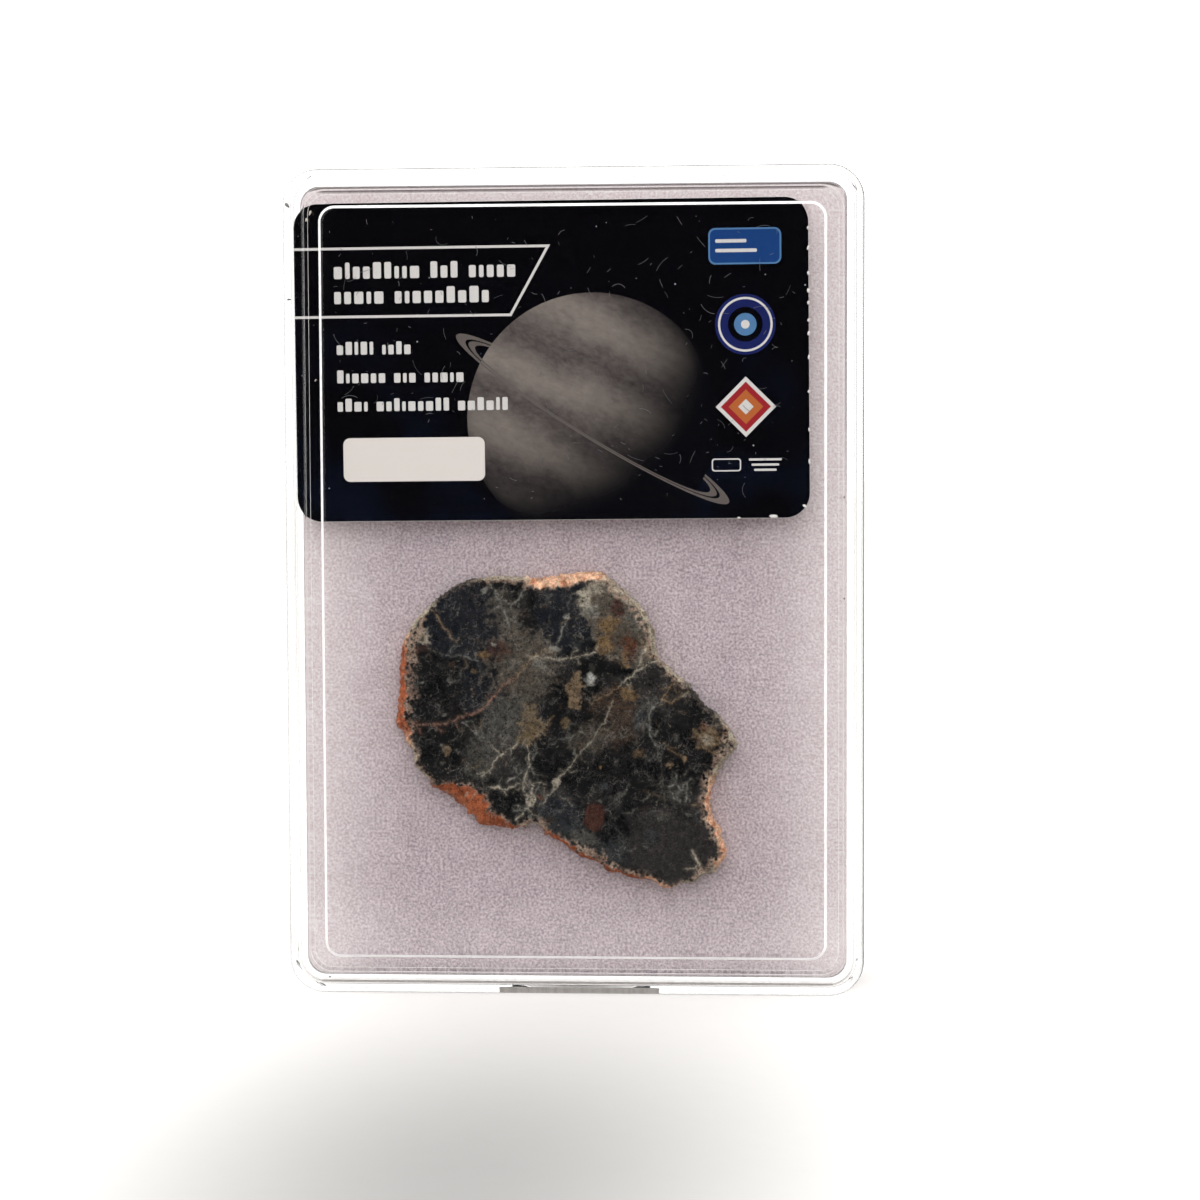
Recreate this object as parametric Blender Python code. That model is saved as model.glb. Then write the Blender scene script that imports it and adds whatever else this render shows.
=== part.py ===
"""A sawn slice of lunar meteorite on a foam pad, in a clear two-part display case with a printed card.

The case stands on its lower edge. X runs across it, Y from the front to the back and Z up. The origin
is the middle of its footprint, and the front faces -Y. Depths are counted from the front face.
"""

import bmesh
import bpy
from mathutils import Matrix, Vector

MM = 0.001

# Case as a whole
CASE_WIDTH = 67.5 * MM
CASE_HEIGHT = 96.5 * MM
CASE_DEPTH = 20.0 * MM
CASE_CORNER = 4.1 * MM
GAP = 0.3 * MM
CORNER_STEPS = 8
EDGE_STEPS = 2

# Lid: a shallow tray, open at the back, whose face rises in two steps to a flat panel
LID_WALL = 0.9 * MM
LID_EDGE_ROUND = 0.7 * MM
LEDGE_INSET = 2.5 * MM
LEDGE_CORNER = 2.6 * MM
LEDGE_RISE = 0.3 * MM
PANEL_INSET = 4.35 * MM
PANEL_CORNER = 1.9 * MM
PANEL_RISE = 0.3 * MM
LID_FACE = 1.0 * MM
NOTCH_WIDTH = 19.4 * MM
NOTCH_REACH = 3.0 * MM

# Base: a back plate with a tray wall that slides inside the lid
PLATE = 1.2 * MM
PLATE_EDGE_ROUND = 0.5 * MM
TRAY_WALL = 0.8 * MM
TRAY_CORNER = 2.9 * MM

# Printed card, pushed against the lid's left wall and a little askew
CARD_WIDTH = 59.9 * MM
CARD_HEIGHT = 37.0 * MM
CARD_THICK = 0.3 * MM
CARD_CORNER = 2.9 * MM
CARD_X = -2.55 * MM
CARD_Z = 74.15 * MM
CARD_ASKEW = 0.006

# Slice: two sawn faces, with the natural outside of the stone as its edge
SLICE_THICK = 2.3 * MM
SLICE_X = -1.0 * MM
SLICE_Z = 31.0 * MM

# The stone's outline in millimetres from the slice's middle, clockwise from the top. The third number
# is how far the weathered edge slopes out past the sawn front face.
SLICE_OUTLINE = (
    (-7.6, 18.0, 0.2), (-5.3, 18.0, 0.3), (-3.4, 17.9, 1.0), (-0.6, 18.2, 1.3), (2.0, 18.5, 0.9),
    (4.0, 18.5, 0.7), (5.5, 17.6, 0.2), (7.0, 16.2, 0.2), (9.1, 14.0, 0.3), (10.1, 12.0, 0.2),
    (10.4, 10.5, 0.2), (10.8, 8.5, 0.2), (11.9, 7.4, 0.2), (13.3, 6.2, 0.2), (14.7, 4.9, 0.2),
    (15.9, 3.2, 0.2), (17.3, 2.2, 0.2), (18.6, 0.9, 0.2), (19.5, -0.7, 0.3), (20.0, -1.8, 0.3),
    (19.3, -2.9, 0.3), (18.2, -4.1, 0.5), (17.7, -5.2, 0.5), (17.1, -6.3, 0.4), (16.8, -8.1, 0.4),
    (17.1, -10.0, 0.5), (17.8, -11.3, 0.4), (18.2, -12.8, 0.4), (18.8, -14.4, 0.6), (18.3, -15.7, 0.8),
    (17.3, -16.7, 0.6), (15.9, -17.2, 0.4), (15.1, -17.9, 0.3), (13.7, -18.1, 0.3), (12.1, -18.6, 0.3),
    (11.0, -18.4, 0.3), (9.9, -17.7, 0.4), (8.3, -17.6, 0.5), (6.7, -17.2, 0.5), (5.0, -16.6, 0.4),
    (3.8, -15.8, 0.4), (2.8, -15.3, 0.4), (1.6, -14.9, 0.4), (0.1, -13.9, 0.4), (-1.1, -13.1, 0.5),
    (-2.5, -12.3, 0.5), (-3.1, -11.4, 0.3), (-4.2, -10.9, 0.2), (-4.6, -11.4, 0.2), (-6.3, -11.6, 0.5),
    (-7.8, -11.6, 1.3), (-10.3, -11.2, 2.2), (-11.5, -10.1, 2.8), (-12.7, -8.9, 2.6), (-14.2, -7.6, 1.4),
    (-15.7, -6.8, 0.4), (-16.6, -5.5, 0.3), (-17.9, -4.2, 0.3), (-18.1, -2.6, 0.3), (-19.1, -1.3, 0.7),
    (-19.3, -0.1, 1.0), (-20.1, 0.3, 1.0), (-20.3, 1.2, 1.1), (-19.9, 3.0, 0.9), (-19.7, 4.7, 0.8),
    (-19.6, 7.1, 0.7), (-19.4, 9.4, 0.6), (-19.0, 10.9, 0.3), (-18.0, 12.4, 0.2), (-16.5, 14.0, 0.2),
    (-14.7, 15.7, 0.2), (-12.9, 17.0, 0.2), (-11.1, 17.7, 0.2), (-9.4, 17.9, 0.2),
)

# Depths from the front face, each behind the piece in front of it
LEDGE_DEPTH = PANEL_RISE
RIM_DEPTH = PANEL_RISE + LEDGE_RISE
LID_INSIDE = RIM_DEPTH + LID_FACE
PLATE_DEPTH = CASE_DEPTH - PLATE
LID_END = PLATE_DEPTH - GAP
CARD_DEPTH = LID_INSIDE + GAP
TRAY_DEPTH = CARD_DEPTH + CARD_THICK + GAP
SLICE_DEPTH = LID_INSIDE + GAP
PAD_DEPTH = SLICE_DEPTH + SLICE_THICK + GAP
PAD_END = PLATE_DEPTH - GAP

TRAY_INSET = LID_WALL + GAP
WELL_INSET = TRAY_INSET + TRAY_WALL
WELL_CORNER = TRAY_CORNER - TRAY_WALL
PAD_INSET = WELL_INSET + GAP
PAD_CORNER = WELL_CORNER
PAD_EDGE_ROUND = 0.5 * MM
CUT_PAST = 2.0 * MM
NOTCH_SIDES = 96


def clear_scene():
    """Takes away whatever the file starts with."""
    for obj in list(bpy.data.objects):
        bpy.data.objects.remove(obj, do_unlink=True)


def new_collection(name, hidden=False):
    """A collection in the scene. A hidden one holds the shapes that only cut or join."""
    collection = bpy.data.collections.new(name)
    bpy.context.scene.collection.children.link(collection)
    collection.hide_render = hidden
    return collection


def new_material(name, colour, roughness, transmission=0.0, ior=1.5):
    """A plain Principled material, see-through where transmission is 1."""
    material = bpy.data.materials.new(name)
    material.use_nodes = True
    shader = material.node_tree.nodes["Principled BSDF"]
    shader.inputs["Base Color"].default_value = (*colour, 1.0)
    shader.inputs["Roughness"].default_value = roughness
    shader.inputs["Metallic"].default_value = 0.0
    shader.inputs["Transmission Weight"].default_value = transmission
    shader.inputs["IOR"].default_value = ior
    return material


def place(name, bm, collection, material=None):
    """Turns a bmesh into a named object with smooth faces and sharp corners."""
    mesh = bpy.data.meshes.new(name)
    bm.to_mesh(mesh)
    bm.free()
    mesh.shade_smooth()
    mesh.set_sharp_from_angle(angle=0.6)
    if material is not None:
        mesh.materials.append(material)
    obj = bpy.data.objects.new(name, mesh)
    collection.objects.link(obj)
    if collection.hide_render:
        obj.hide_render = True
        obj.display_type = "WIRE"
    return obj


def edges_between(bm, test):
    """The edges whose two ends both pass a test on their place."""
    return [edge for edge in bm.edges if all(test(vert.co) for vert in edge.verts)]


def rounded_slab(width, height, corner, front, back, front_round=0.0, back_round=0.0):
    """A bmesh slab with round corners seen from the front, its middle at the case's middle height.

    front and back are depths from the case's front face. front_round and back_round soften the edges
    of those two faces.
    """
    depth = back - front
    middle = Vector((0.0, (front + back) / 2 - CASE_DEPTH / 2, CASE_HEIGHT / 2))
    bm = bmesh.new()
    bmesh.ops.create_cube(bm, size=1.0)
    bmesh.ops.scale(bm, vec=(width, depth, height), verts=bm.verts)
    upright = [edge for edge in bm.edges if abs(edge.verts[0].co.y - edge.verts[1].co.y) > depth / 2]
    bmesh.ops.bevel(bm, geom=upright, offset=corner, segments=CORNER_STEPS, profile=0.5, affect="EDGES")
    for side, edge_round in ((-1, front_round), (1, back_round)):
        if edge_round:
            rim = edges_between(bm, lambda co: side * co.y > depth * 0.499)
            bmesh.ops.bevel(bm, geom=rim, offset=edge_round, segments=EDGE_STEPS, profile=0.5, affect="EDGES")
    bmesh.ops.translate(bm, vec=middle, verts=bm.verts)
    return bm


def case_slab(inset, corner, front, back, front_round=0.0, back_round=0.0):
    """A rounded slab that stays one inset inside the case's outline all round."""
    width = CASE_WIDTH - 2 * inset
    height = CASE_HEIGHT - 2 * inset
    return rounded_slab(width, height, corner, front, back, front_round, back_round)


def boolean(target, tool, operation):
    """Cuts or joins with an exact Boolean."""
    modifier = target.modifiers.new(tool.name, "BOOLEAN")
    modifier.object = tool
    modifier.operation = operation
    modifier.solver = "EXACT"


def build_lid(parts, tools, material):
    """The clear lid, with its stepped face, its hollow and the finger notch in its lower wall."""
    shell = case_slab(0.0, CASE_CORNER, RIM_DEPTH, LID_END, LID_EDGE_ROUND)
    lid = place("case_lid", shell, parts, material)

    overlap = LID_FACE / 2
    ledge = case_slab(LEDGE_INSET, LEDGE_CORNER, LEDGE_DEPTH, RIM_DEPTH + overlap, LEDGE_RISE * 0.6)
    boolean(lid, place("lid_ledge", ledge, tools), "UNION")
    panel = case_slab(PANEL_INSET, PANEL_CORNER, 0.0, RIM_DEPTH + overlap, PANEL_RISE * 0.6)
    boolean(lid, place("lid_panel", panel, tools), "UNION")

    hollow = case_slab(LID_WALL, CASE_CORNER - LID_WALL, LID_INSIDE, LID_END + CUT_PAST)
    boolean(lid, place("lid_hollow", hollow, tools), "DIFFERENCE")
    boolean(lid, place("lid_notch", notch_cutter(), tools), "DIFFERENCE")
    return lid


def notch_cutter():
    """A disc that bites a shallow arc out of the back rim of the lid's lower wall."""
    radius = ((NOTCH_WIDTH / 2) ** 2 + NOTCH_REACH**2) / (2 * NOTCH_REACH)
    bm = bmesh.new()
    bmesh.ops.create_cone(
        bm,
        cap_ends=True,
        segments=NOTCH_SIDES,
        radius1=radius,
        radius2=radius,
        depth=2 * LID_WALL,
    )
    centre_y = LID_END - NOTCH_REACH + radius - CASE_DEPTH / 2
    bmesh.ops.translate(bm, vec=(0.0, centre_y, LID_WALL / 2), verts=bm.verts)
    return bm


def build_base(parts, tools, material):
    """The clear base: a back plate of the lid's outline, and the tray wall around the pad."""
    plate = case_slab(0.0, CASE_CORNER, PLATE_DEPTH, CASE_DEPTH, back_round=PLATE_EDGE_ROUND)
    base = place("case_base", plate, parts, material)
    wall = case_slab(TRAY_INSET, TRAY_CORNER, TRAY_DEPTH, PLATE_DEPTH + PLATE / 2)
    boolean(base, place("tray_block", wall, tools), "UNION")
    well = case_slab(WELL_INSET, WELL_CORNER, TRAY_DEPTH - CUT_PAST, PLATE_DEPTH)
    boolean(base, place("tray_well", well, tools), "DIFFERENCE")
    return base


def build_pad(parts, material):
    """The foam pad that fills the tray."""
    pad = case_slab(PAD_INSET, PAD_CORNER, PAD_DEPTH, PAD_END, PAD_EDGE_ROUND)
    return place("foam_pad", pad, parts, material)


def build_card(parts, material):
    """The printed card behind the upper half of the lid's face."""
    slab = rounded_slab(CARD_WIDTH, CARD_HEIGHT, CARD_CORNER, CARD_DEPTH, CARD_DEPTH + CARD_THICK)
    bmesh.ops.translate(slab, vec=(0.0, 0.0, -CASE_HEIGHT / 2), verts=slab.verts)
    card = place("label_card", slab, parts, material)
    card.location = (CARD_X, 0.0, CARD_Z)
    card.rotation_euler.y = -CARD_ASKEW
    return card


def inward_offsets():
    """For each outline point, the unit step in the slice's plane that leads into the stone."""
    count = len(SLICE_OUTLINE)
    steps = []
    for index in range(count):
        before = SLICE_OUTLINE[index - 1]
        after = SLICE_OUTLINE[(index + 1) % count]
        along = Vector((after[0] - before[0], after[1] - before[1])).normalized()
        steps.append(Vector((along.y, -along.x)))
    return steps


def slice_ring(bm, depth, share):
    """One closed ring of the stone at a depth, drawn in by a share of each point's edge slope."""
    y = depth - CASE_DEPTH / 2
    verts = []
    for (x, z, slope), inward in zip(SLICE_OUTLINE, inward_offsets()):
        point = Vector((x, z)) + inward * slope * share
        verts.append(bm.verts.new((point.x * MM, y, point.y * MM)))
    return verts


def build_slice(parts, material):
    """The stone, lofted from its front face out to its rough edge and in again to its back face."""
    bm = bmesh.new()
    sections = ((0.0, 1.0), (0.35, 0.25), (0.6, 0.0), (0.9, 0.1), (1.0, 0.35))
    rings = [slice_ring(bm, SLICE_DEPTH + SLICE_THICK * part, share) for part, share in sections]
    for ring, following in zip(rings, rings[1:]):
        for index in range(len(ring)):
            after = (index + 1) % len(ring)
            bm.faces.new((ring[index], ring[after], following[after], following[index]))
    bm.faces.new(rings[0])
    bm.faces.new(rings[-1])
    bmesh.ops.recalc_face_normals(bm, faces=bm.faces)
    bm.transform(Matrix.Translation((SLICE_X, 0.0, SLICE_Z)))
    return place("meteorite_slice", bm, parts, material)


def main():
    """Builds the five pieces."""
    clear_scene()
    parts = new_collection("meteorite_slice_case")
    tools = new_collection("cutters", hidden=True)

    clear = new_material("clear_plastic", (0.97, 0.97, 0.96), 0.05, transmission=1.0, ior=1.57)
    build_lid(parts, tools, clear)
    build_base(parts, tools, clear)
    build_pad(parts, new_material("pale_foam", (0.58, 0.52, 0.56), 0.95))
    build_card(parts, new_material("printed_card", (0.012, 0.012, 0.018), 0.35))
    build_slice(parts, new_material("breccia", (0.055, 0.058, 0.06), 0.5))


main()
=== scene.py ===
"""Looks of a lunar meteorite slice in its clear display case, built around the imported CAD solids.

X runs across the case, Y from the front to the back and Z up, and the front faces -Y. Sizes are in
millimetres until a mesh is written. A depth is counted from the front of the lid's raised panel.
"""

import logging
import math
import random
from dataclasses import dataclass, field
from enum import Enum
from typing import Any, Callable, Sequence

import bmesh
import bpy
import numpy as np
from mathutils import Matrix, Vector
from mathutils.geometry import delaunay_2d_cdt
from mathutils.kdtree import KDTree


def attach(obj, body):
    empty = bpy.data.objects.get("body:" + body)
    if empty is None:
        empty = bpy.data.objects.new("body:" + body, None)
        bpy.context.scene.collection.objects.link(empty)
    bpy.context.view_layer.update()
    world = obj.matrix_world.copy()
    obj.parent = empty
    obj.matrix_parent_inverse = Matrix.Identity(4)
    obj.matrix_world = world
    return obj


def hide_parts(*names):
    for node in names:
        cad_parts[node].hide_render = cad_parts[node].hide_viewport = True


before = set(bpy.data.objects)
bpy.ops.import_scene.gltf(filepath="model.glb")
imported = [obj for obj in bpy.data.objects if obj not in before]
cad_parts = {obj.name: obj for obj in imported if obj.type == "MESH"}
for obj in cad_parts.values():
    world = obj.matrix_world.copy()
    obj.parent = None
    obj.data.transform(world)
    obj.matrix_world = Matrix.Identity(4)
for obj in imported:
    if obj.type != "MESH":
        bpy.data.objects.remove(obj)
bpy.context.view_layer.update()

log = logging.getLogger("meteorite_slice")

MM = 0.001
BODY = "root"

Point = tuple[float, float]
Colour = tuple[float, float, float]


def linear(red: float, green: float, blue: float) -> Colour:
    """A colour as seen on a screen, 0 to 255, turned into the linear values that shaders take."""
    shares = [channel / 255 for channel in (red, green, blue)]
    return tuple(s / 12.92 if s <= 0.04045 else ((s + 0.055) / 1.055) ** 2.4 for s in shares)


# Shader maths


class Value:
    """A number that varies over a surface. Arithmetic on it adds Math nodes."""

    def __init__(self, graph: "Graph", socket: Any) -> None:
        """Wraps an output socket of a graph's node."""
        self.graph = graph
        self.socket = socket

    def math(self, operation: str, *others: Any, first: bool = True, clamp: bool = False) -> "Value":
        """Adds one Math node.

        Args:
            operation: The node's operation.
            others: The other operands, numbers or Values.
            first: Whether this value is the first operand, rather than the last.
            clamp: Whether the result is kept between 0 and 1.

        Returns:
            The result.
        """
        operands = [self, *others] if first else [*others, self]
        settings = {"operation": operation, "use_clamp": clamp}
        return self.graph.value("ShaderNodeMath", settings, dict(enumerate(operands)))

    def __add__(self, other: Any) -> "Value":
        """self + other"""
        return self.math("ADD", other)

    def __radd__(self, other: Any) -> "Value":
        """other + self"""
        return self.math("ADD", other)

    def __sub__(self, other: Any) -> "Value":
        """self - other"""
        return self.math("SUBTRACT", other)

    def __rsub__(self, other: Any) -> "Value":
        """other - self"""
        return self.math("SUBTRACT", other, first=False)

    def __mul__(self, other: Any) -> "Value":
        """self * other"""
        return self.math("MULTIPLY", other)

    def __rmul__(self, other: Any) -> "Value":
        """other * self"""
        return self.math("MULTIPLY", other)

    def __truediv__(self, other: Any) -> "Value":
        """self / other"""
        return self.math("DIVIDE", other)

    def __pow__(self, other: Any) -> "Value":
        """self ** other"""
        return self.math("POWER", other)

    def __abs__(self) -> "Value":
        """abs(self)"""
        return self.math("ABSOLUTE")

    def lower(self, other: Any) -> "Value":
        """The smaller of this value and another."""
        return self.math("MINIMUM", other)

    def higher(self, other: Any) -> "Value":
        """The larger of this value and another."""
        return self.math("MAXIMUM", other)

    def clamped(self) -> "Value":
        """This value kept between 0 and 1."""
        return self.math("ADD", 0.0, clamp=True)

    def rise(self, start: float, end: float) -> "Value":
        """A smooth step from 0 at start to 1 at end. start may be the larger of the two."""
        settings = {"interpolation_type": "SMOOTHSTEP"}
        sockets = {"Value": self, "From Min": start, "From Max": end, "To Min": 0.0, "To Max": 1.0}
        if start < end:
            return self.graph.value("ShaderNodeMapRange", settings, sockets)
        sockets["From Min"], sockets["From Max"] = end, start
        return 1.0 - self.graph.value("ShaderNodeMapRange", settings, sockets)


class Graph:
    """The nodes of one material or world."""

    def __init__(self, tree: bpy.types.NodeTree) -> None:
        """Starts from an emptied node tree."""
        self.tree = tree
        tree.nodes.clear()

    @classmethod
    def material(cls, name: str) -> tuple[bpy.types.Material, "Graph"]:
        """A new material and its empty graph."""
        made = bpy.data.materials.new(name)
        made.use_nodes = True
        return made, cls(made.node_tree)

    def node(self, kind: str, settings: dict[str, Any], sockets: dict[Any, Any]) -> bpy.types.Node:
        """Adds a node.

        Args:
            kind: The node's type.
            settings: Its properties, set before its sockets. "stops" fills a colour ramp.
            sockets: Numbers, colours, Values or output sockets, by input name or index.

        Returns:
            The node.
        """
        made = self.tree.nodes.new(kind)
        for name, setting in settings.items():
            if name == "stops":
                self._fill_ramp(made.color_ramp, setting)
            else:
                setattr(made, name, setting)
        for key, given in sockets.items():
            source = given.socket if isinstance(given, Value) else given
            if isinstance(source, bpy.types.NodeSocket):
                self.tree.links.new(source, made.inputs[key])
            elif len(np.shape(source)) and made.inputs[key].type == "RGBA":
                made.inputs[key].default_value = (*source[:3], 1.0)
            else:
                made.inputs[key].default_value = source
        return made

    @staticmethod
    def _fill_ramp(ramp: bpy.types.ColorRamp, stops: Sequence[tuple[float, Colour]]) -> None:
        """Gives a colour ramp its stops, each a place and a colour."""
        while len(ramp.elements) < len(stops):
            ramp.elements.new(0.5)
        for element, (place, colour) in zip(ramp.elements, stops):
            element.position = place
            element.color = (*colour, 1.0)

    def value(self, kind: str, settings: dict[str, Any], sockets: dict[Any, Any], output: Any = 0) -> Value:
        """Adds a node and returns one of its outputs as a Value."""
        return Value(self, self.node(kind, settings, sockets).outputs[output])

    def mix(self, under: Any, over: Any, factor: Any) -> Value:
        """Lays one colour over another by a factor."""
        settings = {"data_type": "RGBA", "clamp_factor": True}
        return self.value("ShaderNodeMix", settings, {0: factor, 6: under, 7: over}, 2)

    def scaled(self, vector: Any, factor: Any) -> Value:
        """A vector or colour times a number."""
        return self.value("ShaderNodeVectorMath", {"operation": "SCALE"}, {0: vector, "Scale": factor})

    def added(self, vector: Any, other: Any) -> Value:
        """The sum of two vectors."""
        return self.value("ShaderNodeVectorMath", {"operation": "ADD"}, {0: vector, 1: other})

    def place(self) -> Value:
        """Where the surface is, in millimetres, in the object's own frame."""
        found = self.value("ShaderNodeTexCoord", {}, {}, "Object")
        return self.scaled(found, 1 / MM)

    def split(self, vector: Value) -> tuple[Value, Value, Value]:
        """The three parts of a vector."""
        made = self.node("ShaderNodeSeparateXYZ", {}, {0: vector})
        return tuple(Value(self, output) for output in made.outputs)

    def joined(self, x: Any, y: Any, z: Any) -> Value:
        """A vector from its three parts."""
        return self.value("ShaderNodeCombineXYZ", {}, {0: x, 1: y, 2: z})

    def noise(self, place: Value, size: float, detail: float = 2.0, rough: float = 0.5, output: Any = 0) -> Value:
        """Soft noise from 0 to 1, with bumps of a size in the units of place."""
        sockets = {"Vector": place, "Scale": 1 / size, "Detail": detail, "Roughness": rough}
        return self.value("ShaderNodeTexNoise", {}, sockets, output)

    def cells(self, place: Value, size: float, feature: str, output: Any = "Distance") -> Value:
        """Voronoi cells of a size in the units of place."""
        sockets = {"Vector": place, "Scale": 1 / size, "Randomness": 1.0}
        return self.value("ShaderNodeTexVoronoi", {"feature": feature}, sockets, output)

    def painted(self, name: str, output: str = "Fac") -> Value:
        """A layer that was painted on the mesh."""
        settings = {"attribute_type": "GEOMETRY", "attribute_name": name}
        return self.value("ShaderNodeAttribute", settings, {}, output)

    def rays(self) -> tuple[Value, Value]:
        """Whether the ray is the camera's own, and whether it was mirrored or bent on its way."""
        rays = self.node("ShaderNodeLightPath", {}, {}).outputs
        return Value(self, rays["Is Camera Ray"]), Value(self, rays["Is Glossy Ray"])

    def bump(self, height: Value, reach: float, strength: float = 1.0) -> Value:
        """A Bump node on a height from 0 to 1, for a reach in millimetres."""
        sockets = {"Height": height, "Distance": reach * MM, "Strength": strength}
        return self.value("ShaderNodeBump", {}, sockets)

    def principled(self, sockets: dict[str, Any]) -> bpy.types.NodeSocket:
        """A Principled shader's output."""
        return self.node("ShaderNodeBsdfPrincipled", {}, sockets).outputs[0]

    def finish(self, shader: bpy.types.NodeSocket) -> None:
        """Ends the material in a shader."""
        self.node("ShaderNodeOutputMaterial", {}, {"Surface": shader})


# Finishes


@dataclass(frozen=True)
class ClearPlastic:
    """Moulded clear styrene, with faint flow waves and rubbed scratches."""

    ior: float = 1.5
    tint: Colour = (0.985, 0.985, 0.98)
    wave_size: float = 9.0
    wave_reach: float = 0.004

    def material(self) -> bpy.types.Material:
        """The clear plastic. Shadow rays pass, so that light reaches what is inside."""
        made, g = Graph.material("clear_plastic")
        waves = g.noise(g.place(), self.wave_size, 1.0)
        shader = g.principled({
            "Base Color": self.tint,
            "Roughness": 0.0,
            "IOR": self.ior,
            "Transmission Weight": 1.0,
            "Normal": g.bump(waves, self.wave_reach),
        })
        passing = g.node("ShaderNodeBsdfTransparent", {}, {"Color": (0.95, 0.95, 0.95)}).outputs[0]
        rays = g.node("ShaderNodeLightPath", {}, {}).outputs
        lighting = Value(g, rays["Is Shadow Ray"]).higher(rays["Is Diffuse Ray"])
        g.finish(g.node("ShaderNodeMixShader", {}, {0: lighting, 1: shader, 2: passing}).outputs[0])
        return made


@dataclass(frozen=True)
class PaintedLightPlastic:
    """The moulded step around the lid's panel, which glows white: a painted glow standing in for light caught in the
    plastic.
    """

    name: str = "frosted_step"
    bright: Colour = (0.97, 0.96, 0.955)
    dull: Colour = (0.80, 0.79, 0.78)
    glow: float = 0.3

    def material(self) -> bpy.types.Material:
        """A white, half clear plastic, which also gives off its colour as a painted glow."""
        made, g = Graph.material(self.name)
        flecks = g.noise(g.place(), 0.5, 3.0).rise(0.35, 0.6)
        colour = g.mix(self.dull, self.bright, flecks)
        g.finish(g.principled({
            "Base Color": colour,
            "Roughness": 0.4,
            "IOR": 1.5,
            "Transmission Weight": 0.15,
            # Painted glow: the colour is given off again as light.
            "Emission Color": colour,
            "Emission Strength": self.glow,
        }))
        return made


@dataclass(frozen=True)
class Foam:
    """Pale lilac-grey polythene foam, with fine torn cells."""

    pale: Colour = linear(226, 210, 215)
    dark: Colour = linear(164, 149, 155)
    # Lit copies of the colours, used for painted light.
    lit_pale: Colour = linear(255, 248, 249)
    lit_dark: Colour = linear(232, 213, 216)
    painted_edge_shade: Colour = linear(132, 122, 123)
    cell: float = 0.30
    depth: float = 0.10
    glow_start: float = 15.0
    glow_end: float = 32.5
    glow_low: float = 88.5
    glow_high: float = 93.4
    top_edge: float = 93.9
    side_edge: float = 31.3
    front: float = -5.2

    def material(self) -> bpy.types.Material:
        """The foam, with painted light that makes it brighter near its sides, where light gets in through the clear
        walls.
        """
        made, g = Graph.material("lilac_foam")
        place = g.place()
        fine = g.noise(place, self.cell, 3.0, 0.6)
        broad = g.noise(place, 2.6, 2.0)
        grain = (fine - 0.5) * 3.4 + (broad - 0.5) * 0.5 + 0.5
        x, y, z = g.split(place)
        # Painted light: the mix towards the lit colours rises near the sides, near the top and at the upper right, on
        # the front face only.
        glow = abs(x).rise(self.glow_start, self.glow_end) ** 2.0
        glow = glow + z.rise(50.0, 70.0) * x.rise(26.0, 29.0) * 0.5
        glow = glow.higher(z.rise(self.glow_low, self.glow_high)).clamped() * y.rise(self.front + 0.6, self.front)
        plain = g.mix(self.dark, self.pale, grain.clamped())
        lit = g.mix(self.lit_dark, self.lit_pale, grain.clamped())
        # Painted shade: a dark line along the upper right side and the top edge, where the foam meets the tray wall.
        edge = x.rise(self.side_edge, self.side_edge + 0.1) * z.rise(55.0, 75.0) * 0.6
        edge = edge.higher(z.rise(self.top_edge - 0.1, self.top_edge + 0.1))
        g.finish(g.principled({
            "Base Color": g.mix(g.mix(plain, lit, glow * 0.95), self.painted_edge_shade, edge),
            "Roughness": 0.95,
            "Specular IOR Level": 0.15,
            "Normal": g.bump(fine, self.depth),
        }))
        return made


@dataclass(frozen=True)
class Ink:
    """One printed colour, with the fine upright streaks of a card printer."""

    name: str
    colour: Colour
    streak: float = 0.12
    roughness: float = 0.22

    def material(self) -> bpy.types.Material:
        """The printed colour."""
        made, g = Graph.material("ink_" + self.name)
        x, _, z = g.split(g.place())
        streaks = g.noise(g.joined(x, 0.0, z * 0.06), 0.22, 2.0)
        dots = g.noise(g.joined(x, 0.0, z), 0.16, 1.0)
        shade = 1.0 - (1.0 - streaks) * self.streak - (1.0 - dots) * self.streak
        g.finish(g.principled({
            "Base Color": g.scaled(self.colour, shade),
            "Roughness": self.roughness,
            "Specular IOR Level": 0.3,
            "Normal": g.bump(dots, 0.002),
        }))
        return made


@dataclass(frozen=True)
class NightStock:
    """The card's black ground, blue-tinged low down, with small stars."""

    black: Colour = linear(6, 5, 9)
    blue: Colour = linear(10, 15, 30)
    star: Colour = linear(205, 215, 225)

    def material(self) -> bpy.types.Material:
        """The starry ground."""
        made, g = Graph.material("night_stock")
        place = g.place()
        x, _, z = g.split(place)
        haze = g.noise(place, 9.0, 3.0).rise(0.42, 0.68) * z.rise(88.0, 62.0)
        ground = g.mix(self.black, self.blue, haze)
        flat = g.joined(x, 0.0, z)
        glow = 0.0
        for size, share, reach in ((1.5, 0.80, 0.075), (0.8, 0.90, 0.06)):
            dot = g.cells(flat, size, "F1").rise(reach, reach * 0.4)
            pick = g.split(g.cells(flat, size, "F1", "Color"))[0].rise(share, 1.0)
            glow = dot * pick + glow
        fine = g.noise(place, 0.3, 2.0)
        g.finish(g.principled({
            "Base Color": g.mix(ground, self.star, glow.clamped()),
            "Roughness": 0.14 + fine * 0.1,
            "Specular IOR Level": 0.3,
            "Normal": g.bump(fine, 0.001),
        }))
        return made


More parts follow.
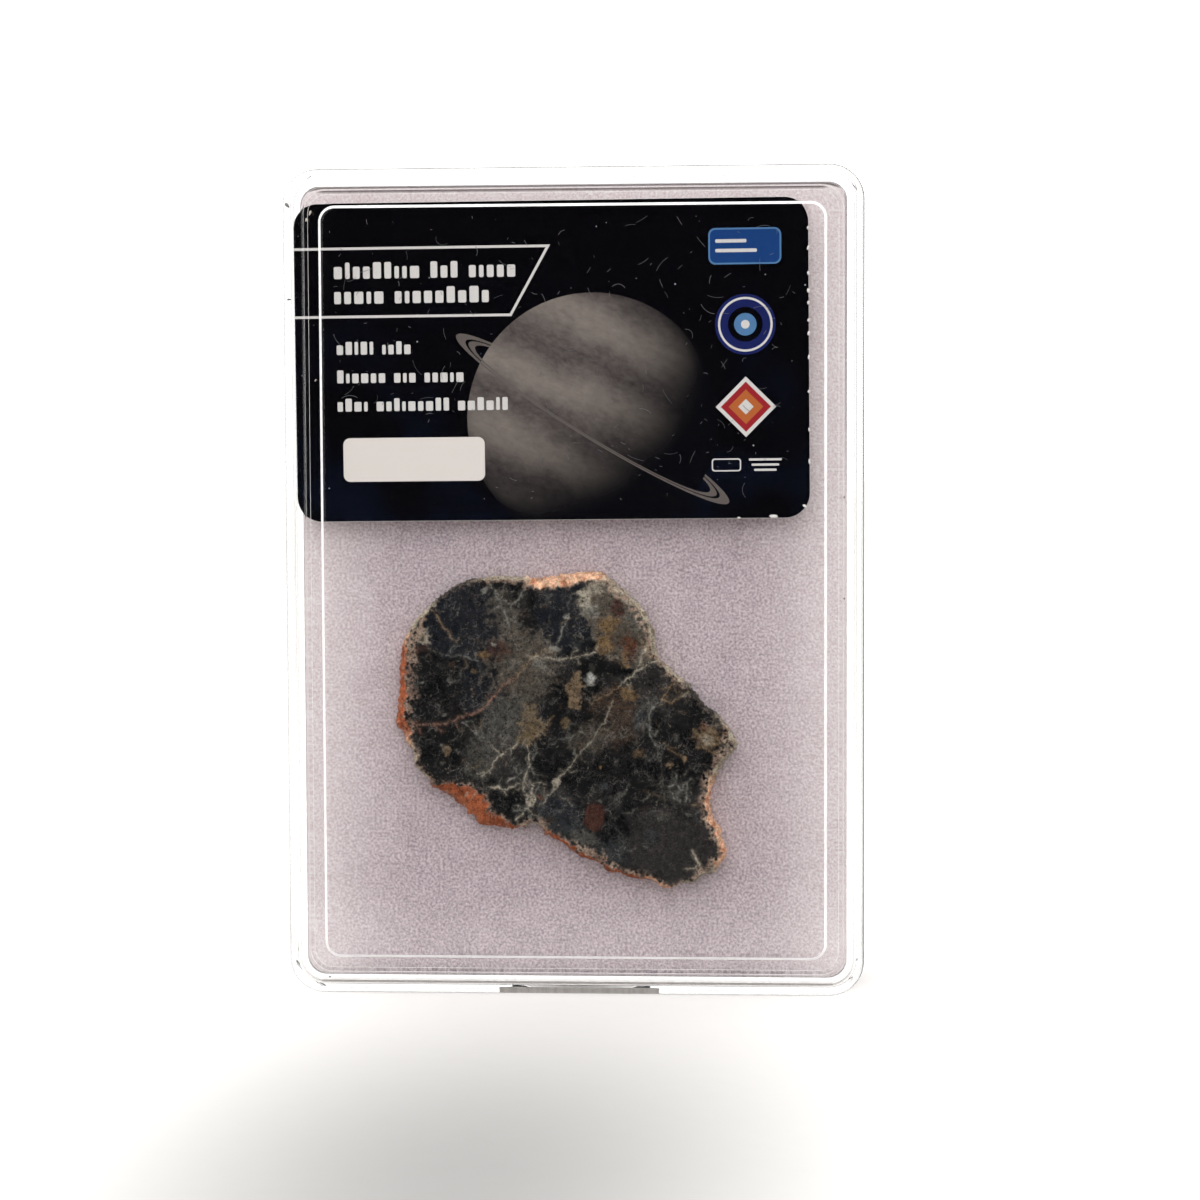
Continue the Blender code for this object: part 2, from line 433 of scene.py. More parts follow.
@dataclass(frozen=True)
class GlobeInk:
    """A printed globe with blurred cloud belts, shaded as if lit from the upper left."""

    centre: Point
    radius: float
    bright: Colour = linear(150, 140, 132)
    deep: Colour = linear(66, 58, 60)
    night: Colour = linear(8, 8, 14)
    lean: float = -0.42

    def material(self) -> bpy.types.Material:
        """The globe's shading, from the distance to its middle."""
        made, g = Graph.material("ink_globe")
        x, _, z = g.split(g.place())
        u = (x - self.centre[0]) / self.radius
        v = (z - self.centre[1]) / self.radius
        across = u * math.cos(self.lean) + v * math.sin(self.lean)
        along = v * math.cos(self.lean) - u * math.sin(self.lean)
        front = (1.0 - u * u - v * v).higher(0.0) ** 0.5
        swirl = g.noise(g.joined(across, along, 0.0), 0.5, 4.0) - 0.5
        belt = (along * 6.0 + swirl * 2.2) * 1.9
        belts = belt.math("SINE") * 0.5 + 0.5
        grit = g.noise(g.joined(across * 0.6, along, 1.0), 0.05, 3.0, 0.7)
        face = g.mix(self.deep, self.bright, belts * 0.55 + grit * 0.7 - 0.15)
        light = (v * 0.62 - u * 0.50 + front * 0.6).rise(-0.05, 0.95)
        g.finish(g.principled({
            "Base Color": g.mix(self.night, face, light),
            "Roughness": 0.2,
            "Specular IOR Level": 0.3,
        }))
        return made


@dataclass(frozen=True)
class PaperEdge:
    """The card's bare white stock, at its cut edge, its back and its torn tabs."""

    white: Colour = linear(238, 234, 230)
    grey: Colour = linear(205, 200, 198)

    def material(self) -> bpy.types.Material:
        """Soft fibrous paper."""
        made, g = Graph.material("card_stock")
        fibres = g.noise(g.place(), 0.4, 4.0, 0.6)
        g.finish(g.principled({
            "Base Color": g.mix(self.grey, self.white, fibres.rise(0.3, 0.6)),
            "Roughness": 0.8,
            "Normal": g.bump(fibres, 0.02),
        }))
        return made


@dataclass(frozen=True)
class Lint:
    """Pale dust and hairs."""

    name: str
    colour: Colour

    def material(self) -> bpy.types.Material:
        """A dull fibre, uneven along its length."""
        made, g = Graph.material(self.name)
        patchy = g.noise(g.place(), 0.6, 3.0)
        g.finish(g.principled({
            "Base Color": g.scaled(self.colour, 0.55 + patchy * 0.9),
            "Roughness": 0.7,
        }))
        return made


@dataclass(frozen=True)
class Breccia:
    """The sawn and lapped stone: painted layers, with a fine pale web, grains and mottling on top."""

    web_tone: Colour = linear(150, 145, 139)
    pale_grain: Colour = linear(128, 124, 119)
    cream_grain: Colour = linear(158, 146, 128)
    dark_grain: Colour = linear(9, 10, 11)

    def material(self) -> bpy.types.Material:
        """The stone's one material, from its painted layers."""
        made, g = Graph.material("lunar_breccia")
        x, y, z = g.split(g.place())
        flat = g.joined(x, y * 0.6, z)
        drift = g.noise(flat, 0.8, 3.0, 0.6, output="Color")
        warped = g.added(flat, g.scaled(g.added(drift, (-0.5, -0.5, -0.5)), 1.1))
        busy = g.painted("web")
        crumbly = g.painted("crumbly")
        mottling = g.noise(flat, 0.62, 5.0, 0.68)
        pits = g.noise(flat, 0.15, 2.0, 0.6)
        shade = (mottling - 0.5) * 3.0 + (pits - 0.5) * 2.0 + 1.0
        colour = g.scaled(g.painted("paint", "Color"), shade.higher(0.1))
        patchy = g.noise(flat, 1.5, 3.0).rise(0.44, 0.62)
        for size, width, strength in ((1.7, 0.03, 0.34), (0.75, 0.055, 0.24)):
            edge = g.cells(warped, size, "DISTANCE_TO_EDGE").rise(width, 0.0)
            colour = g.mix(colour, self.web_tone, edge * patchy * busy * strength)
        grains = (
            (0.24, 0.74, self.pale_grain, 0.3),
            (0.40, 0.84, self.cream_grain, 0.35),
            (0.36, 0.55, self.dark_grain, 0.9),
        )
        for size, share, tone, strength in grains:
            near = g.cells(warped, size, "F1").rise(0.5, 0.15)
            pick = g.split(g.cells(warped, size, "F1", "Color"))[0].rise(share, share + 0.15)
            colour = g.mix(colour, tone, near * pick * busy * strength)
        g.finish(g.principled({
            "Base Color": colour,
            "Roughness": 0.2 + crumbly * 0.6 + pits * 0.12,
            "Specular IOR Level": 0.16,
            "Normal": g.bump(pits, 0.03),
        }))
        return made


@dataclass(frozen=True)
class StudioFloor:
    """White paper with a painted wide soft shade in front of the case. Mirrored in the lid, its front is painted dark.
    """

    white: Colour = (0.93, 0.912, 0.887)
    shade: float = 0.62
    shade_start: float = -2.0
    shade_end: float = -90.0
    shade_middle: float = -4.0
    shade_width: float = 64.0
    mirror_start: float = -20.0
    mirror_end: float = -100.0
    bounce: float = 0.38

    def material(self) -> bpy.types.Material:
        """Matt paper with a hardly seen tooth."""
        made, g = Graph.material("white_paper")
        place = g.value("ShaderNodeNewGeometry", {}, {}, "Position")
        across, ahead, _ = g.split(g.scaled(place, 1 / MM))
        seen, mirrored = g.rays()
        # Painted shadow: the camera sees the paper darker in a wide soft patch in front of the case.
        reach = ahead.rise(self.shade_start, self.shade_end) ** 0.5
        shade = abs(across - self.shade_middle).rise(self.shade_width, 0.0) * reach
        # Painted shade for light that leaves the floor: mirrored rays see it darker towards the front, and other rays
        # see it at the bounce share.
        dim = 1.0 - mirrored * ahead.rise(self.mirror_start, self.mirror_end)
        other = self.bounce + mirrored * (1.0 - self.bounce)
        level = seen * (1.0 - shade * self.shade) + (1.0 - seen) * dim * other
        tooth = g.noise(g.place(), 3.0, 3.0)
        g.finish(g.principled({
            "Base Color": g.scaled(self.white, (0.985 + tooth * 0.03) * level),
            "Roughness": 0.9,
            "Specular IOR Level": 0.1,
        }))
        return made


# Mesh making


def make_object(name: str, mesh: bpy.types.Mesh, materials: Sequence[bpy.types.Material]) -> bpy.types.Object:
    """Puts a mesh in the scene with its materials."""
    for material in materials:
        mesh.materials.append(material)
    made = bpy.data.objects.new(name, mesh)
    bpy.context.scene.collection.objects.link(made)
    return made


def make_mesh(name: str, points: np.ndarray, faces: Sequence[Sequence[int]]) -> bpy.types.Mesh:
    """A smooth mesh from points in millimetres."""
    mesh = bpy.data.meshes.new(name)
    mesh.from_pydata((points * MM).tolist(), [], faces)
    mesh.validate()
    mesh.shade_smooth()
    return mesh


def make_sound(mesh: bpy.types.Mesh) -> None:
    """Welds a closed mesh's seams, fills the slits that are left and turns its faces outward."""
    bm = bmesh.new()
    bm.from_mesh(mesh)
    bmesh.ops.remove_doubles(bm, verts=bm.verts, dist=1e-7)
    bmesh.ops.delete(bm, geom=[vert for vert in bm.verts if not vert.link_faces], context="VERTS")
    filled = bmesh.ops.holes_fill(bm, edges=[edge for edge in bm.edges if edge.is_boundary], sides=0)
    for face in filled["faces"]:
        face.smooth = True
    bmesh.ops.recalc_face_normals(bm, faces=bm.faces)
    bm.to_mesh(mesh)
    bm.free()


def rounded_outline(half_x: float, half_z: float, corner: float, per_side: int, per_corner: int) -> np.ndarray:
    """A rectangle with round corners, from the left end of its lower side, anticlockwise from the front.

    Args:
        half_x: Half its width.
        half_z: Half its height.
        corner: Its corner radius.
        per_side: Steps along each straight side.
        per_corner: Steps around each corner.

    Returns:
        One row of x and z for each point, around the middle.
    """
    rows = []
    corners = ((half_x, -half_z, -90), (half_x, half_z, 0), (-half_x, half_z, 90), (-half_x, -half_z, 180))
    for index, (corner_x, corner_z, start) in enumerate(corners):
        centre = (corner_x - math.copysign(corner, corner_x), corner_z - math.copysign(corner, corner_z))
        arc = []
        for step in range(per_corner + 1):
            angle = math.radians(start + 90 * step / per_corner)
            arc.append((centre[0] + corner * math.cos(angle), centre[1] + corner * math.sin(angle)))
        rows.append(arc)
    outline = []
    for index, arc in enumerate(rows):
        before = rows[index - 1][-1]
        for step in range(per_side):
            share = step / per_side
            outline.append((before[0] + (arc[0][0] - before[0]) * share, before[1] + (arc[0][1] - before[1]) * share))
        outline.extend(arc[:-1])
    return np.array(outline)


def hash_unit(cells_x: np.ndarray, cells_z: np.ndarray, seed: int) -> np.ndarray:
    """A steady random number from 0 to 1 for each whole-numbered cell."""
    mixed = (cells_x * 374761393 + cells_z * 668265263 + seed * 1442695041) & 0xFFFFFFFF
    mixed = ((mixed ^ (mixed >> 13)) * 1274126177) & 0xFFFFFFFF
    return ((mixed ^ (mixed >> 16)) & 0xFFFFFF) / float(0x1000000)


def soft_noise(points: np.ndarray, size: float, seed: int, octaves: int = 1) -> np.ndarray:
    """Smooth noise, about -1 to 1, at points in the plane.

    Args:
        points: Rows of x and z.
        size: The width of one bump.
        seed: Which noise.
        octaves: How many finer layers are added, each half as wide and as strong.

    Returns:
        One number for each point.
    """
    total = np.zeros(len(points))
    strength = 1.0
    for octave in range(octaves):
        scaled = points * (2**octave / size)
        cell = np.floor(scaled).astype(np.int64)
        part = scaled - cell
        ease = part**3 * (part * (part * 6 - 15) + 10)
        corners = []
        for step_z in (0, 1):
            for step_x in (0, 1):
                angle = hash_unit(cell[:, 0] + step_x, cell[:, 1] + step_z, seed + octave * 17) * 2 * math.pi
                reach = np.cos(angle) * (part[:, 0] - step_x) + np.sin(angle) * (part[:, 1] - step_z)
                corners.append(reach)
        low = corners[0] + (corners[1] - corners[0]) * ease[:, 0]
        high = corners[2] + (corners[3] - corners[2]) * ease[:, 0]
        total += (low + (high - low) * ease[:, 1]) * 1.5 * strength
        strength *= 0.5
    return total


def granules(points: np.ndarray, size: float, seed: int) -> tuple[np.ndarray, np.ndarray]:
    """Rounded grains packed in the plane.

    Args:
        points: Rows of x and z.
        size: The spacing of the grains.
        seed: Which set of grains.

    Returns:
        How far each point is into its grain, from 0 at its rim to about 1, and the grain's own number.
    """
    cell = np.floor(points / size).astype(np.int64)
    nearest = np.full(len(points), 9.0)
    second = np.full(len(points), 9.0)
    own = np.zeros(len(points))
    for step_x in (-1, 0, 1):
        for step_z in (-1, 0, 1):
            there_x = cell[:, 0] + step_x
            there_z = cell[:, 1] + step_z
            seat_x = there_x + hash_unit(there_x, there_z, seed)
            seat_z = there_z + hash_unit(there_x, there_z, seed + 5)
            away = np.hypot(points[:, 0] / size - seat_x, points[:, 1] / size - seat_z)
            closer = away < nearest
            second = np.where(closer, nearest, np.minimum(second, away))
            own = np.where(closer, hash_unit(there_x, there_z, seed + 9), own)
            nearest = np.where(closer, away, nearest)
    return np.clip((second - nearest) * 1.6, 0, 1), own


def smooth_step(values: np.ndarray, start: float, end: float) -> np.ndarray:
    """0 at start and before it, 1 at end and past it, eased between. start may be the larger."""
    share = np.clip((values - start) / (end - start), 0, 1)
    return share * share * (3 - 2 * share)


def is_inside(points: np.ndarray, border: np.ndarray) -> np.ndarray:
    """Whether each point of the plane lies in a closed outline."""
    inside = np.zeros(len(points), bool)
    for (x0, z0), (x1, z1) in zip(border, np.roll(border, -1, axis=0)):
        if z0 == z1:
            continue
        crosses = (points[:, 1] < z0) != (points[:, 1] < z1)
        inside ^= crosses & (points[:, 0] < x0 + (x1 - x0) * (points[:, 1] - z0) / (z1 - z0))
    return inside


def nearest_of(points: np.ndarray, seeds: np.ndarray) -> tuple[np.ndarray, np.ndarray]:
    """For each point of the plane, the index of its nearest seed and how far that is."""
    tree = KDTree(len(seeds))
    for index, (x, z) in enumerate(seeds):
        tree.insert((x, z, 0.0), index)
    tree.balance()
    found = [tree.find((x, z, 0.0)) for x, z in points.tolist()]
    return np.array([hit[1] for hit in found]), np.array([hit[2] for hit in found])


def distance_to_outline(points: np.ndarray, outline: np.ndarray) -> np.ndarray:
    """How far each point lies outside a closed outline, negative inside."""
    away = np.full(len(points), 1e9)
    for start, end in zip(outline, np.roll(outline, -1, axis=0)):
        along = end - start
        share = np.clip(((points - start) @ along) / max(along @ along, 1e-9), 0, 1)
        away = np.minimum(away, np.hypot(*(points - start - share[:, None] * along).T))
    return np.where(is_inside(points, outline), -away, away)


def fill_outline(border: np.ndarray, spacing: float, kept: np.ndarray | None = None) -> tuple[np.ndarray, list]:
    """Covers the inside of an outline with even triangles.

    Args:
        border: The outline's points, which come first in the result.
        spacing: The triangles' side.
        kept: Points inside that must be corners too.

    Returns:
        All points of the plane, and the triangles on them.
    """
    low, high = border.min(0), border.max(0)
    rows = np.arange(low[1], high[1], spacing * 0.866)
    across = np.arange(low[0], high[0], spacing)
    lattice = np.array([(x + spacing / 2 * (row % 2), z) for row, z in enumerate(rows) for x in across])
    lattice = lattice[is_inside(lattice, border)]
    lattice = lattice[nearest_of(lattice, border)[1] > spacing * 0.6]
    if kept is not None and len(kept):
        kept = kept[is_inside(kept, border)]
        kept = kept[nearest_of(kept, border)[1] > spacing * 0.4]
        lattice = lattice[nearest_of(lattice, kept)[1] > spacing * 0.5]
        lattice = np.vstack((kept, lattice))
    points = [Vector(row) for row in np.vstack((border, lattice)).tolist()]
    made = delaunay_2d_cdt(points, [], [list(range(len(border)))], 1, 1e-7)
    return np.array([tuple(point) for point in made[0]]), [list(face) for face in made[2]]


def loft(loops: Sequence[np.ndarray], closed: bool = False) -> list[list[int]]:
    """Quads between loops of equal length whose points follow each other in one array.

    Args:
        loops: The loops, each closed in itself.
        closed: Whether the last loop joins the first.

    Returns:
        The faces.
    """
    count = len(loops[0])
    faces = []
    for step in range(len(loops) - 1 + closed):
        here, there = step * count, (step + 1) % len(loops) * count
        for index in range(count):
            after = (index + 1) % count
            faces.append([here + index, there + index, there + after, here + after])
    return faces


def tube(route: np.ndarray, radius: float, first: int) -> tuple[np.ndarray, list[list[int]]]:
    """A thin four-sided closed tube along a route in the card's plane.

    Args:
        route: Rows of x, depth and z.
        radius: The tube's radius.
        first: The index that its first point gets.

    Returns:
        Its points and faces.
    """
    along = np.gradient(route, axis=0)
    along /= np.linalg.norm(along, axis=1)[:, None]
    side = np.column_stack((along[:, 2], np.zeros(len(route)), -along[:, 0]))
    out = np.array((0.0, -1.0, 0.0))
    rows = [route + side * radius, route + out * radius, route - side * radius, route - out * radius]
    points = np.stack(rows, axis=1).reshape(-1, 3)
    faces = []
    for step in range(len(route) - 1):
        for corner in range(4):
            after = (corner + 1) % 4
            here, there = first + step * 4, first + (step + 1) * 4
            faces.append([here + corner, there + corner, there + after, here + after])
    last = first + (len(route) - 1) * 4
    faces.append([first, first + 1, first + 2, first + 3])
    faces.append([last + 3, last + 2, last + 1, last])
    return points, faces


# The case


@dataclass(frozen=True)
class Station:
    """One rounded outline on the way around a moulded wall."""

    inset: float
    depth: float
    corner: float
    at_rim: bool = False


@dataclass
class DisplayCase:
    """The clear lid with its stepped face, and the base with its tray wall."""

    width: float = 67.5
    height: float = 96.5
    depth: float = 20.0
    corner: float = 4.1
    lid_wall: float = 0.9
    edge_round: float = 0.7
    ledge_inset: float = 2.5
    ledge_corner: float = 2.6
    panel_inset: float = 4.35
    panel_corner: float = 1.9
    rise: float = 0.3
    step_width: float = 0.3
    face: float = 1.0
    inner_round: float = 0.45
    plate: float = 1.2
    gap: float = 0.3
    tray_inset: float = 1.2
    tray_wall: float = 0.8
    tray_corner: float = 2.9
    tray_depth: float = 2.5
    notch_width: float = 19.4
    notch_reach: float = 3.0
    per_side: int = 72
    per_corner: int = 20
    clear: ClearPlastic = field(default_factory=ClearPlastic)
    painted_highlight: PaintedLightPlastic = field(default_factory=PaintedLightPlastic)

    @property
    def lid_end(self) -> float:
        """The depth at which the lid's walls end."""
        return self.depth - self.plate - self.gap

    @property
    def rim_depth(self) -> float:
        """The depth of the lid's lowest step."""
        return 2 * self.rise

    def notch_bite(self, x: np.ndarray) -> np.ndarray:
        """How far the finger notch bites into the lower wall's rim at each x."""
        radius = ((self.notch_width / 2) ** 2 + self.notch_reach**2) / (2 * self.notch_reach)
        inside = np.clip(radius**2 - x**2, 0, None)
        bite = np.clip(self.notch_reach - radius + np.sqrt(inside), 0, None)
        return bite**2 / (bite + 0.3)

    def quarter(self, centre: Point, radius: float, start: float, steps: int, corner_shift: float) -> list[Station]:
        """A quarter round of a wall's section.

        Args:
            centre: The round's middle, as inset and depth.
            radius: Its radius.
            start: Its first angle in degrees, where 0 is towards more inset and 90 towards more depth.
            steps: How many steps it takes.
            corner_shift: What the outline's corner radius and its inset add up to.

        Returns:
            Its stations.
        """
        turn = -90
        stations = []
        for step in range(steps + 1):
            angle = math.radians(start + turn * step / steps)
            inset = centre[0] + radius * math.cos(angle)
            stations.append(Station(inset, centre[1] + radius * math.sin(angle), corner_shift - inset))
        return stations

    def shell(self, name: str, stations: Sequence[Station]) -> bpy.types.Mesh:
        """A closed shell through its stations, capped flat at the first and the last."""
        loops = []
        for station in stations:
            flat = rounded_outline(
                self.width / 2 - station.inset,
                self.height / 2 - station.inset,
                max(station.corner, 0.15),
                self.per_side,
                self.per_corner,
            )
            depth = np.full(len(flat), station.depth)
            if station.at_rim:
                low_wall = flat[:, 1] < self.lid_wall * 1.2 - self.height / 2
                depth -= np.where(low_wall, self.notch_bite(flat[:, 0]), 0)
            loops.append(np.column_stack((flat[:, 0], depth - self.depth / 2, flat[:, 1] + self.height / 2)))
        count = len(loops[0])
        faces = loft(loops)
        faces.append(list(range(count)))
        faces.append(list(reversed(range((len(loops) - 1) * count, len(loops) * count))))
        return make_mesh(name, np.vstack(loops), faces)

    def lid_stations(self) -> tuple[list[Station], int]:
        """The lid's section from the middle of its face round to its inner face.

        Returns:
            The stations, and the index of the one where the panel's step starts.
        """
        rise, outer, small = self.rise, self.corner, 0.04
        ledge_sum = self.ledge_inset + self.ledge_corner
        panel_sum = self.panel_inset + self.panel_corner
        step_in = self.panel_inset + self.step_width
        stations = [
            Station(step_in + 0.8, 0.0, panel_sum - step_in - 0.5),
            Station(step_in + small, 0.0, panel_sum - step_in - small),
        ]
        step_start = len(stations)
        stations += [
            Station(step_in, 0.01, panel_sum - step_in),
            Station(self.panel_inset + 0.1, rise * 0.6, panel_sum - self.panel_inset - 0.1),
            Station(self.panel_inset, rise - 0.01, self.panel_corner),
            Station(self.panel_inset - small, rise, self.panel_corner + small),
            Station(self.panel_inset - 0.5, rise, self.panel_corner + 0.3),
        ]
        ledge_round = 0.12
        stations.append(Station(self.ledge_inset + 0.5, rise, self.ledge_corner - 0.45))
        stations += self.quarter(
            (self.ledge_inset + ledge_round, rise + ledge_round), ledge_round, -90, 4, ledge_sum
        )
        stations += [
            Station(self.ledge_inset - 0.02, self.rim_depth - 0.04, self.ledge_corner + 0.02),
            Station(self.ledge_inset - 0.08, self.rim_depth, self.ledge_corner + 0.08),
            Station(self.ledge_inset - 0.4, self.rim_depth, outer - self.ledge_inset + 0.6),
            Station(self.edge_round + 0.1, self.rim_depth, outer - self.edge_round - 0.1),
        ]
        stations += self.quarter((self.edge_round, self.rim_depth + self.edge_round), self.edge_round, -90, 9, outer)
        end, lip, wall = self.lid_end, 0.08, self.lid_wall
        inside = self.rim_depth + self.face
        stations += [
            Station(0.0, self.rim_depth + self.edge_round + 0.4, outer),
            Station(0.0, end - lip - 0.3, outer, True),
            Station(0.0, end - lip, outer, True),
            Station(lip, end, outer - lip, True),
            Station(wall - lip, end, outer - wall + lip, True),
            Station(wall, end - lip, outer - wall, True),
            Station(wall, end - lip - 0.3, outer - wall, True),
            Station(wall, inside + self.inner_round + 0.2, outer - wall),
        ]
        centre = (wall + self.inner_round, inside + self.inner_round)
        stations += [
            Station(
                centre[0] - self.inner_round * math.cos(angle),
                centre[1] - self.inner_round * math.sin(angle),
                outer - centre[0] + self.inner_round * math.cos(angle),
            )
            for angle in np.radians(np.linspace(0, 90, 7))
        ]
        stations.append(Station(centre[0] + 0.2, inside, outer - centre[0] - 0.2))
        return stations, step_start

    def base_stations(self) -> list[Station]:
        """The base's section from the middle of the tray's floor round to the middle of its back."""
        plate_front, lip = self.depth - self.plate, 0.08
        well, well_corner = self.tray_inset + self.tray_wall, self.tray_corner - self.tray_wall
        back_round = 0.5
        stations = [
            Station(well + 0.6, plate_front, well_corner - 0.5),
            Station(well + 0.25, plate_front, well_corner - 0.25),
            Station(well + 0.07, plate_front - 0.07, well_corner - 0.07),
            Station(well, plate_front - 0.25, well_corner),
            Station(well, self.tray_depth + 0.4, well_corner),
            Station(well, self.tray_depth + lip, well_corner),
            Station(well - lip, self.tray_depth, well_corner + lip),
            Station(self.tray_inset + lip, self.tray_depth, self.tray_corner - lip),
            Station(self.tray_inset, self.tray_depth + lip, self.tray_corner),
            Station(self.tray_inset, self.tray_depth + 0.4, self.tray_corner),
            Station(self.tray_inset, plate_front - 0.2, self.tray_corner),
            Station(self.tray_inset - 0.06, plate_front - 0.06, self.tray_corner + 0.06),
            Station(self.tray_inset - 0.2, plate_front, self.tray_corner + 0.2),
            Station(lip + 0.1, plate_front, self.corner - lip),
            Station(lip, plate_front, self.corner - lip),
            Station(0.0, plate_front + lip, self.corner),
            Station(0.0, self.depth - back_round - 0.1, self.corner),
        ]
        for angle in np.radians(np.linspace(0, 90, 7)):
            inset = back_round * (1 - math.cos(angle))
            depth = self.depth - back_round * (1 - math.sin(angle))
            stations.append(Station(inset, depth, self.corner - inset))
        stations.append(Station(back_round + 0.4, self.depth, self.corner - back_round - 0.4))
        return stations

    def moulding_lines(self) -> bpy.types.Object:
        """Hair-thin painted highlight lines in the glowing white plastic, which run around just behind the lid's face,
        below its steps.
        """
        blocks, faces, total = [], [], 0
        for inset, corner, radius in ((4.42, 1.8, 0.026), (2.5, 2.6, 0.022), (2.95, 2.3, 0.018)):
            loops = []
            for out, back in ((radius, 0.0), (0.0, radius), (-radius, 0.0), (0.0, -radius)):
                half_x, half_z = self.width / 2 - inset + out, self.height / 2 - inset + out
                ring = rounded_outline(half_x, half_z, corner + out, 60, 16)
                depth = np.full(len(ring), self.rim_depth + self.face + 0.06 + back - self.depth / 2)
                loops.append(np.column_stack((ring[:, 0], depth, ring[:, 1] + self.height / 2)))
            faces += [[total + index for index in face] for face in loft(loops, closed=True)]
            blocks += loops
            total += sum(len(loop) for loop in loops)
        return make_object("moulding_lines", make_mesh("moulding_lines", np.vstack(blocks), faces), ())

    def foot_shades(self) -> bpy.types.Object:
        """Painted shade: dull grey bars where the finger notch and the gap below the tray show through the lower wall.
        """
        blocks, faces, total = [], [], 0
        for middle, half, low, high, depth in (
            (0.4, 9.42, 0.42, 0.64, 2.1),
            (0.0, 30.2, 0.93, 1.26, 2.25),
        ):
            bar = rounded_outline(half, (high - low) / 2, (high - low) * 0.49, 1, 8) + (middle, (low + high) / 2)
            rows = [np.column_stack((bar[:, 0], bar[:, 0] * 0 + depth + y - 10, bar[:, 1])) for y in (0, 0.2)]
            caps = [list(range(len(bar))), list(reversed(range(len(bar), 2 * len(bar))))]
            faces += [[total + index for index in face] for face in loft(rows) + caps]
            blocks += rows
            total += 2 * len(bar)
        made = make_object("foot_shades", make_mesh("foot_shades", np.vstack(blocks), faces), ())
        made.data.set_sharp_from_angle(angle=0.5)
        return made

    def build(self) -> list[bpy.types.Object]:
        """Builds and dresses the lid and the base."""
        clear, painted_highlight = self.clear.material(), self.painted_highlight.material()
        # A grey copy with no glow, for the bars of painted shade.
        dull = PaintedLightPlastic("dull_plastic", linear(178, 172, 168), linear(160, 154, 150), 0.0).material()
        stations, step_start = self.lid_stations()
        lid_mesh = self.shell("lid_shell", stations)
        lid = make_object("lid_shell", lid_mesh, (clear, painted_highlight))
        # The panel's step gets the glowing white plastic, a painted highlight.
        count = 4 * (self.per_side + self.per_corner)
        for face in range(step_start * count, (step_start + 2) * count):
            lid_mesh.polygons[face].material_index = 1
        base = make_object("base_shell", self.shell("base_shell", self.base_stations()), (clear, painted_highlight))
        # The tray rim's front strip along the bottom gets it too, a painted white band of light.
        rim_step = 6
        for face in base.data.polygons[rim_step * count: (rim_step + 1) * count]:
            face.material_index = int(face.center.z < 3 * MM)
        lines, shades = self.moulding_lines(), self.foot_shades()
        lines.data.materials.append(painted_highlight)
        shades.data.materials.append(dull)
        for piece in (lid, base, lines, shades):
            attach(piece, BODY)
        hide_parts("case_lid")
        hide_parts("case_base")
        return [lid, base, lines, shades]


# What lies in the case


@dataclass
class FoamSheet:
    """The cut foam that fills the tray, its front grain in the mesh."""

    case: DisplayCase
    inset: float = 2.08
    corner: float = 2.05
    front: float = 4.32
    back: float = 18.6
    spacing: float = 0.36
    edge_drop: float = 0.12
    grain: float = 0.035
    finish: Foam = field(default_factory=Foam)

    def build(self) -> bpy.types.Object:
        """Builds the sheet: a dense grained front, then its sides and a flat back."""
        half_x = self.case.width / 2 - self.inset
        half_z = self.case.height / 2 - self.inset
        border = rounded_outline(half_x, half_z, self.corner, 190, 10)
        flat, faces = fill_outline(border, self.spacing)
        edge = nearest_of(flat, border)[1]
        lift = self.edge_drop * np.clip(1 - edge / 0.9, 0, 1) ** 2.2
        torn = soft_noise(flat, 0.42, 3, 3) * self.grain + soft_noise(flat, 6.0, 8) * 0.05
        torn += soft_noise(flat, 1.1, 5) * self.grain * 0.6
        front = np.column_stack((flat[:, 0], self.front + lift + torn, flat[:, 1]))
        count = len(border)
        ragged = soft_noise(np.column_stack((np.arange(count) * 0.3, np.zeros(count))), 0.9, 4, 2) * 0.05
        rings = []
        for depth, spread in ((self.front + 0.9, 0.02), (self.front + 4.0, 0.0), (self.back, 0.0)):
            scale = 1 + (spread + ragged[:, None] * (depth < self.back)) / half_z
            ring = border * scale
            rings.append(np.column_stack((ring[:, 0], np.full(count, depth), ring[:, 1])))
        faces = [list(reversed(face)) if self.faces_back(flat, face) else face for face in faces]
        first = len(front)
        for ring in range(len(rings)):
            before = 0 if ring == 0 else first + (ring - 1) * count
            here = first + ring * count
            for index in range(count):
                after = (index + 1) % count
                faces.append([before + index, here + index, here + after, before + after])
        last = first + (len(rings) - 1) * count
        faces.append(list(reversed(range(last, last + count))))
        points = np.vstack((front, *rings))
        points[:, 1] -= self.case.depth / 2
        points[:, 2] += self.case.height / 2
        made = make_object("foam_sheet", make_mesh("foam_sheet", points, faces), (self.finish.material(),))
        make_sound(made.data)
        made.data.set_sharp_from_angle(angle=1.1)
        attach(made, BODY)
        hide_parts("foam_pad")
        return made

    @staticmethod
    def faces_back(flat: np.ndarray, face: Sequence[int]) -> bool:
        """Whether a triangle is wound clockwise as seen from the front."""
        (ax, az), (bx, bz), (cx, cz) = flat[face[0]], flat[face[1]], flat[face[2]]
        return (bx - ax) * (cz - az) - (bz - az) * (cx - ax) < 0


@dataclass(frozen=True)
class PrintedShape:
    """A flat printed region on the card: its ink, and its outline in millimetres from the card's middle."""

    ink: str
    outline: np.ndarray


def rounded_box(x: float, z: float, width: float, height: float, corner: float) -> np.ndarray:
    """The outline of a box with round corners around x and z."""
    return rounded_outline(width / 2, height / 2, corner, 1, 6) + (x, z)


def ellipse(x: float, z: float, radius_x: float, radius_z: float, turn: float = 0.0, steps: int = 64) -> np.ndarray:
    """The outline of an ellipse around x and z, turned by an angle."""
    angles = np.linspace(0, 2 * math.pi, steps, endpoint=False)
    across, along = radius_x * np.cos(angles), radius_z * np.sin(angles)
    cos, sin = math.cos(turn), math.sin(turn)
    return np.column_stack((x + across * cos - along * sin, z + across * sin + along * cos))


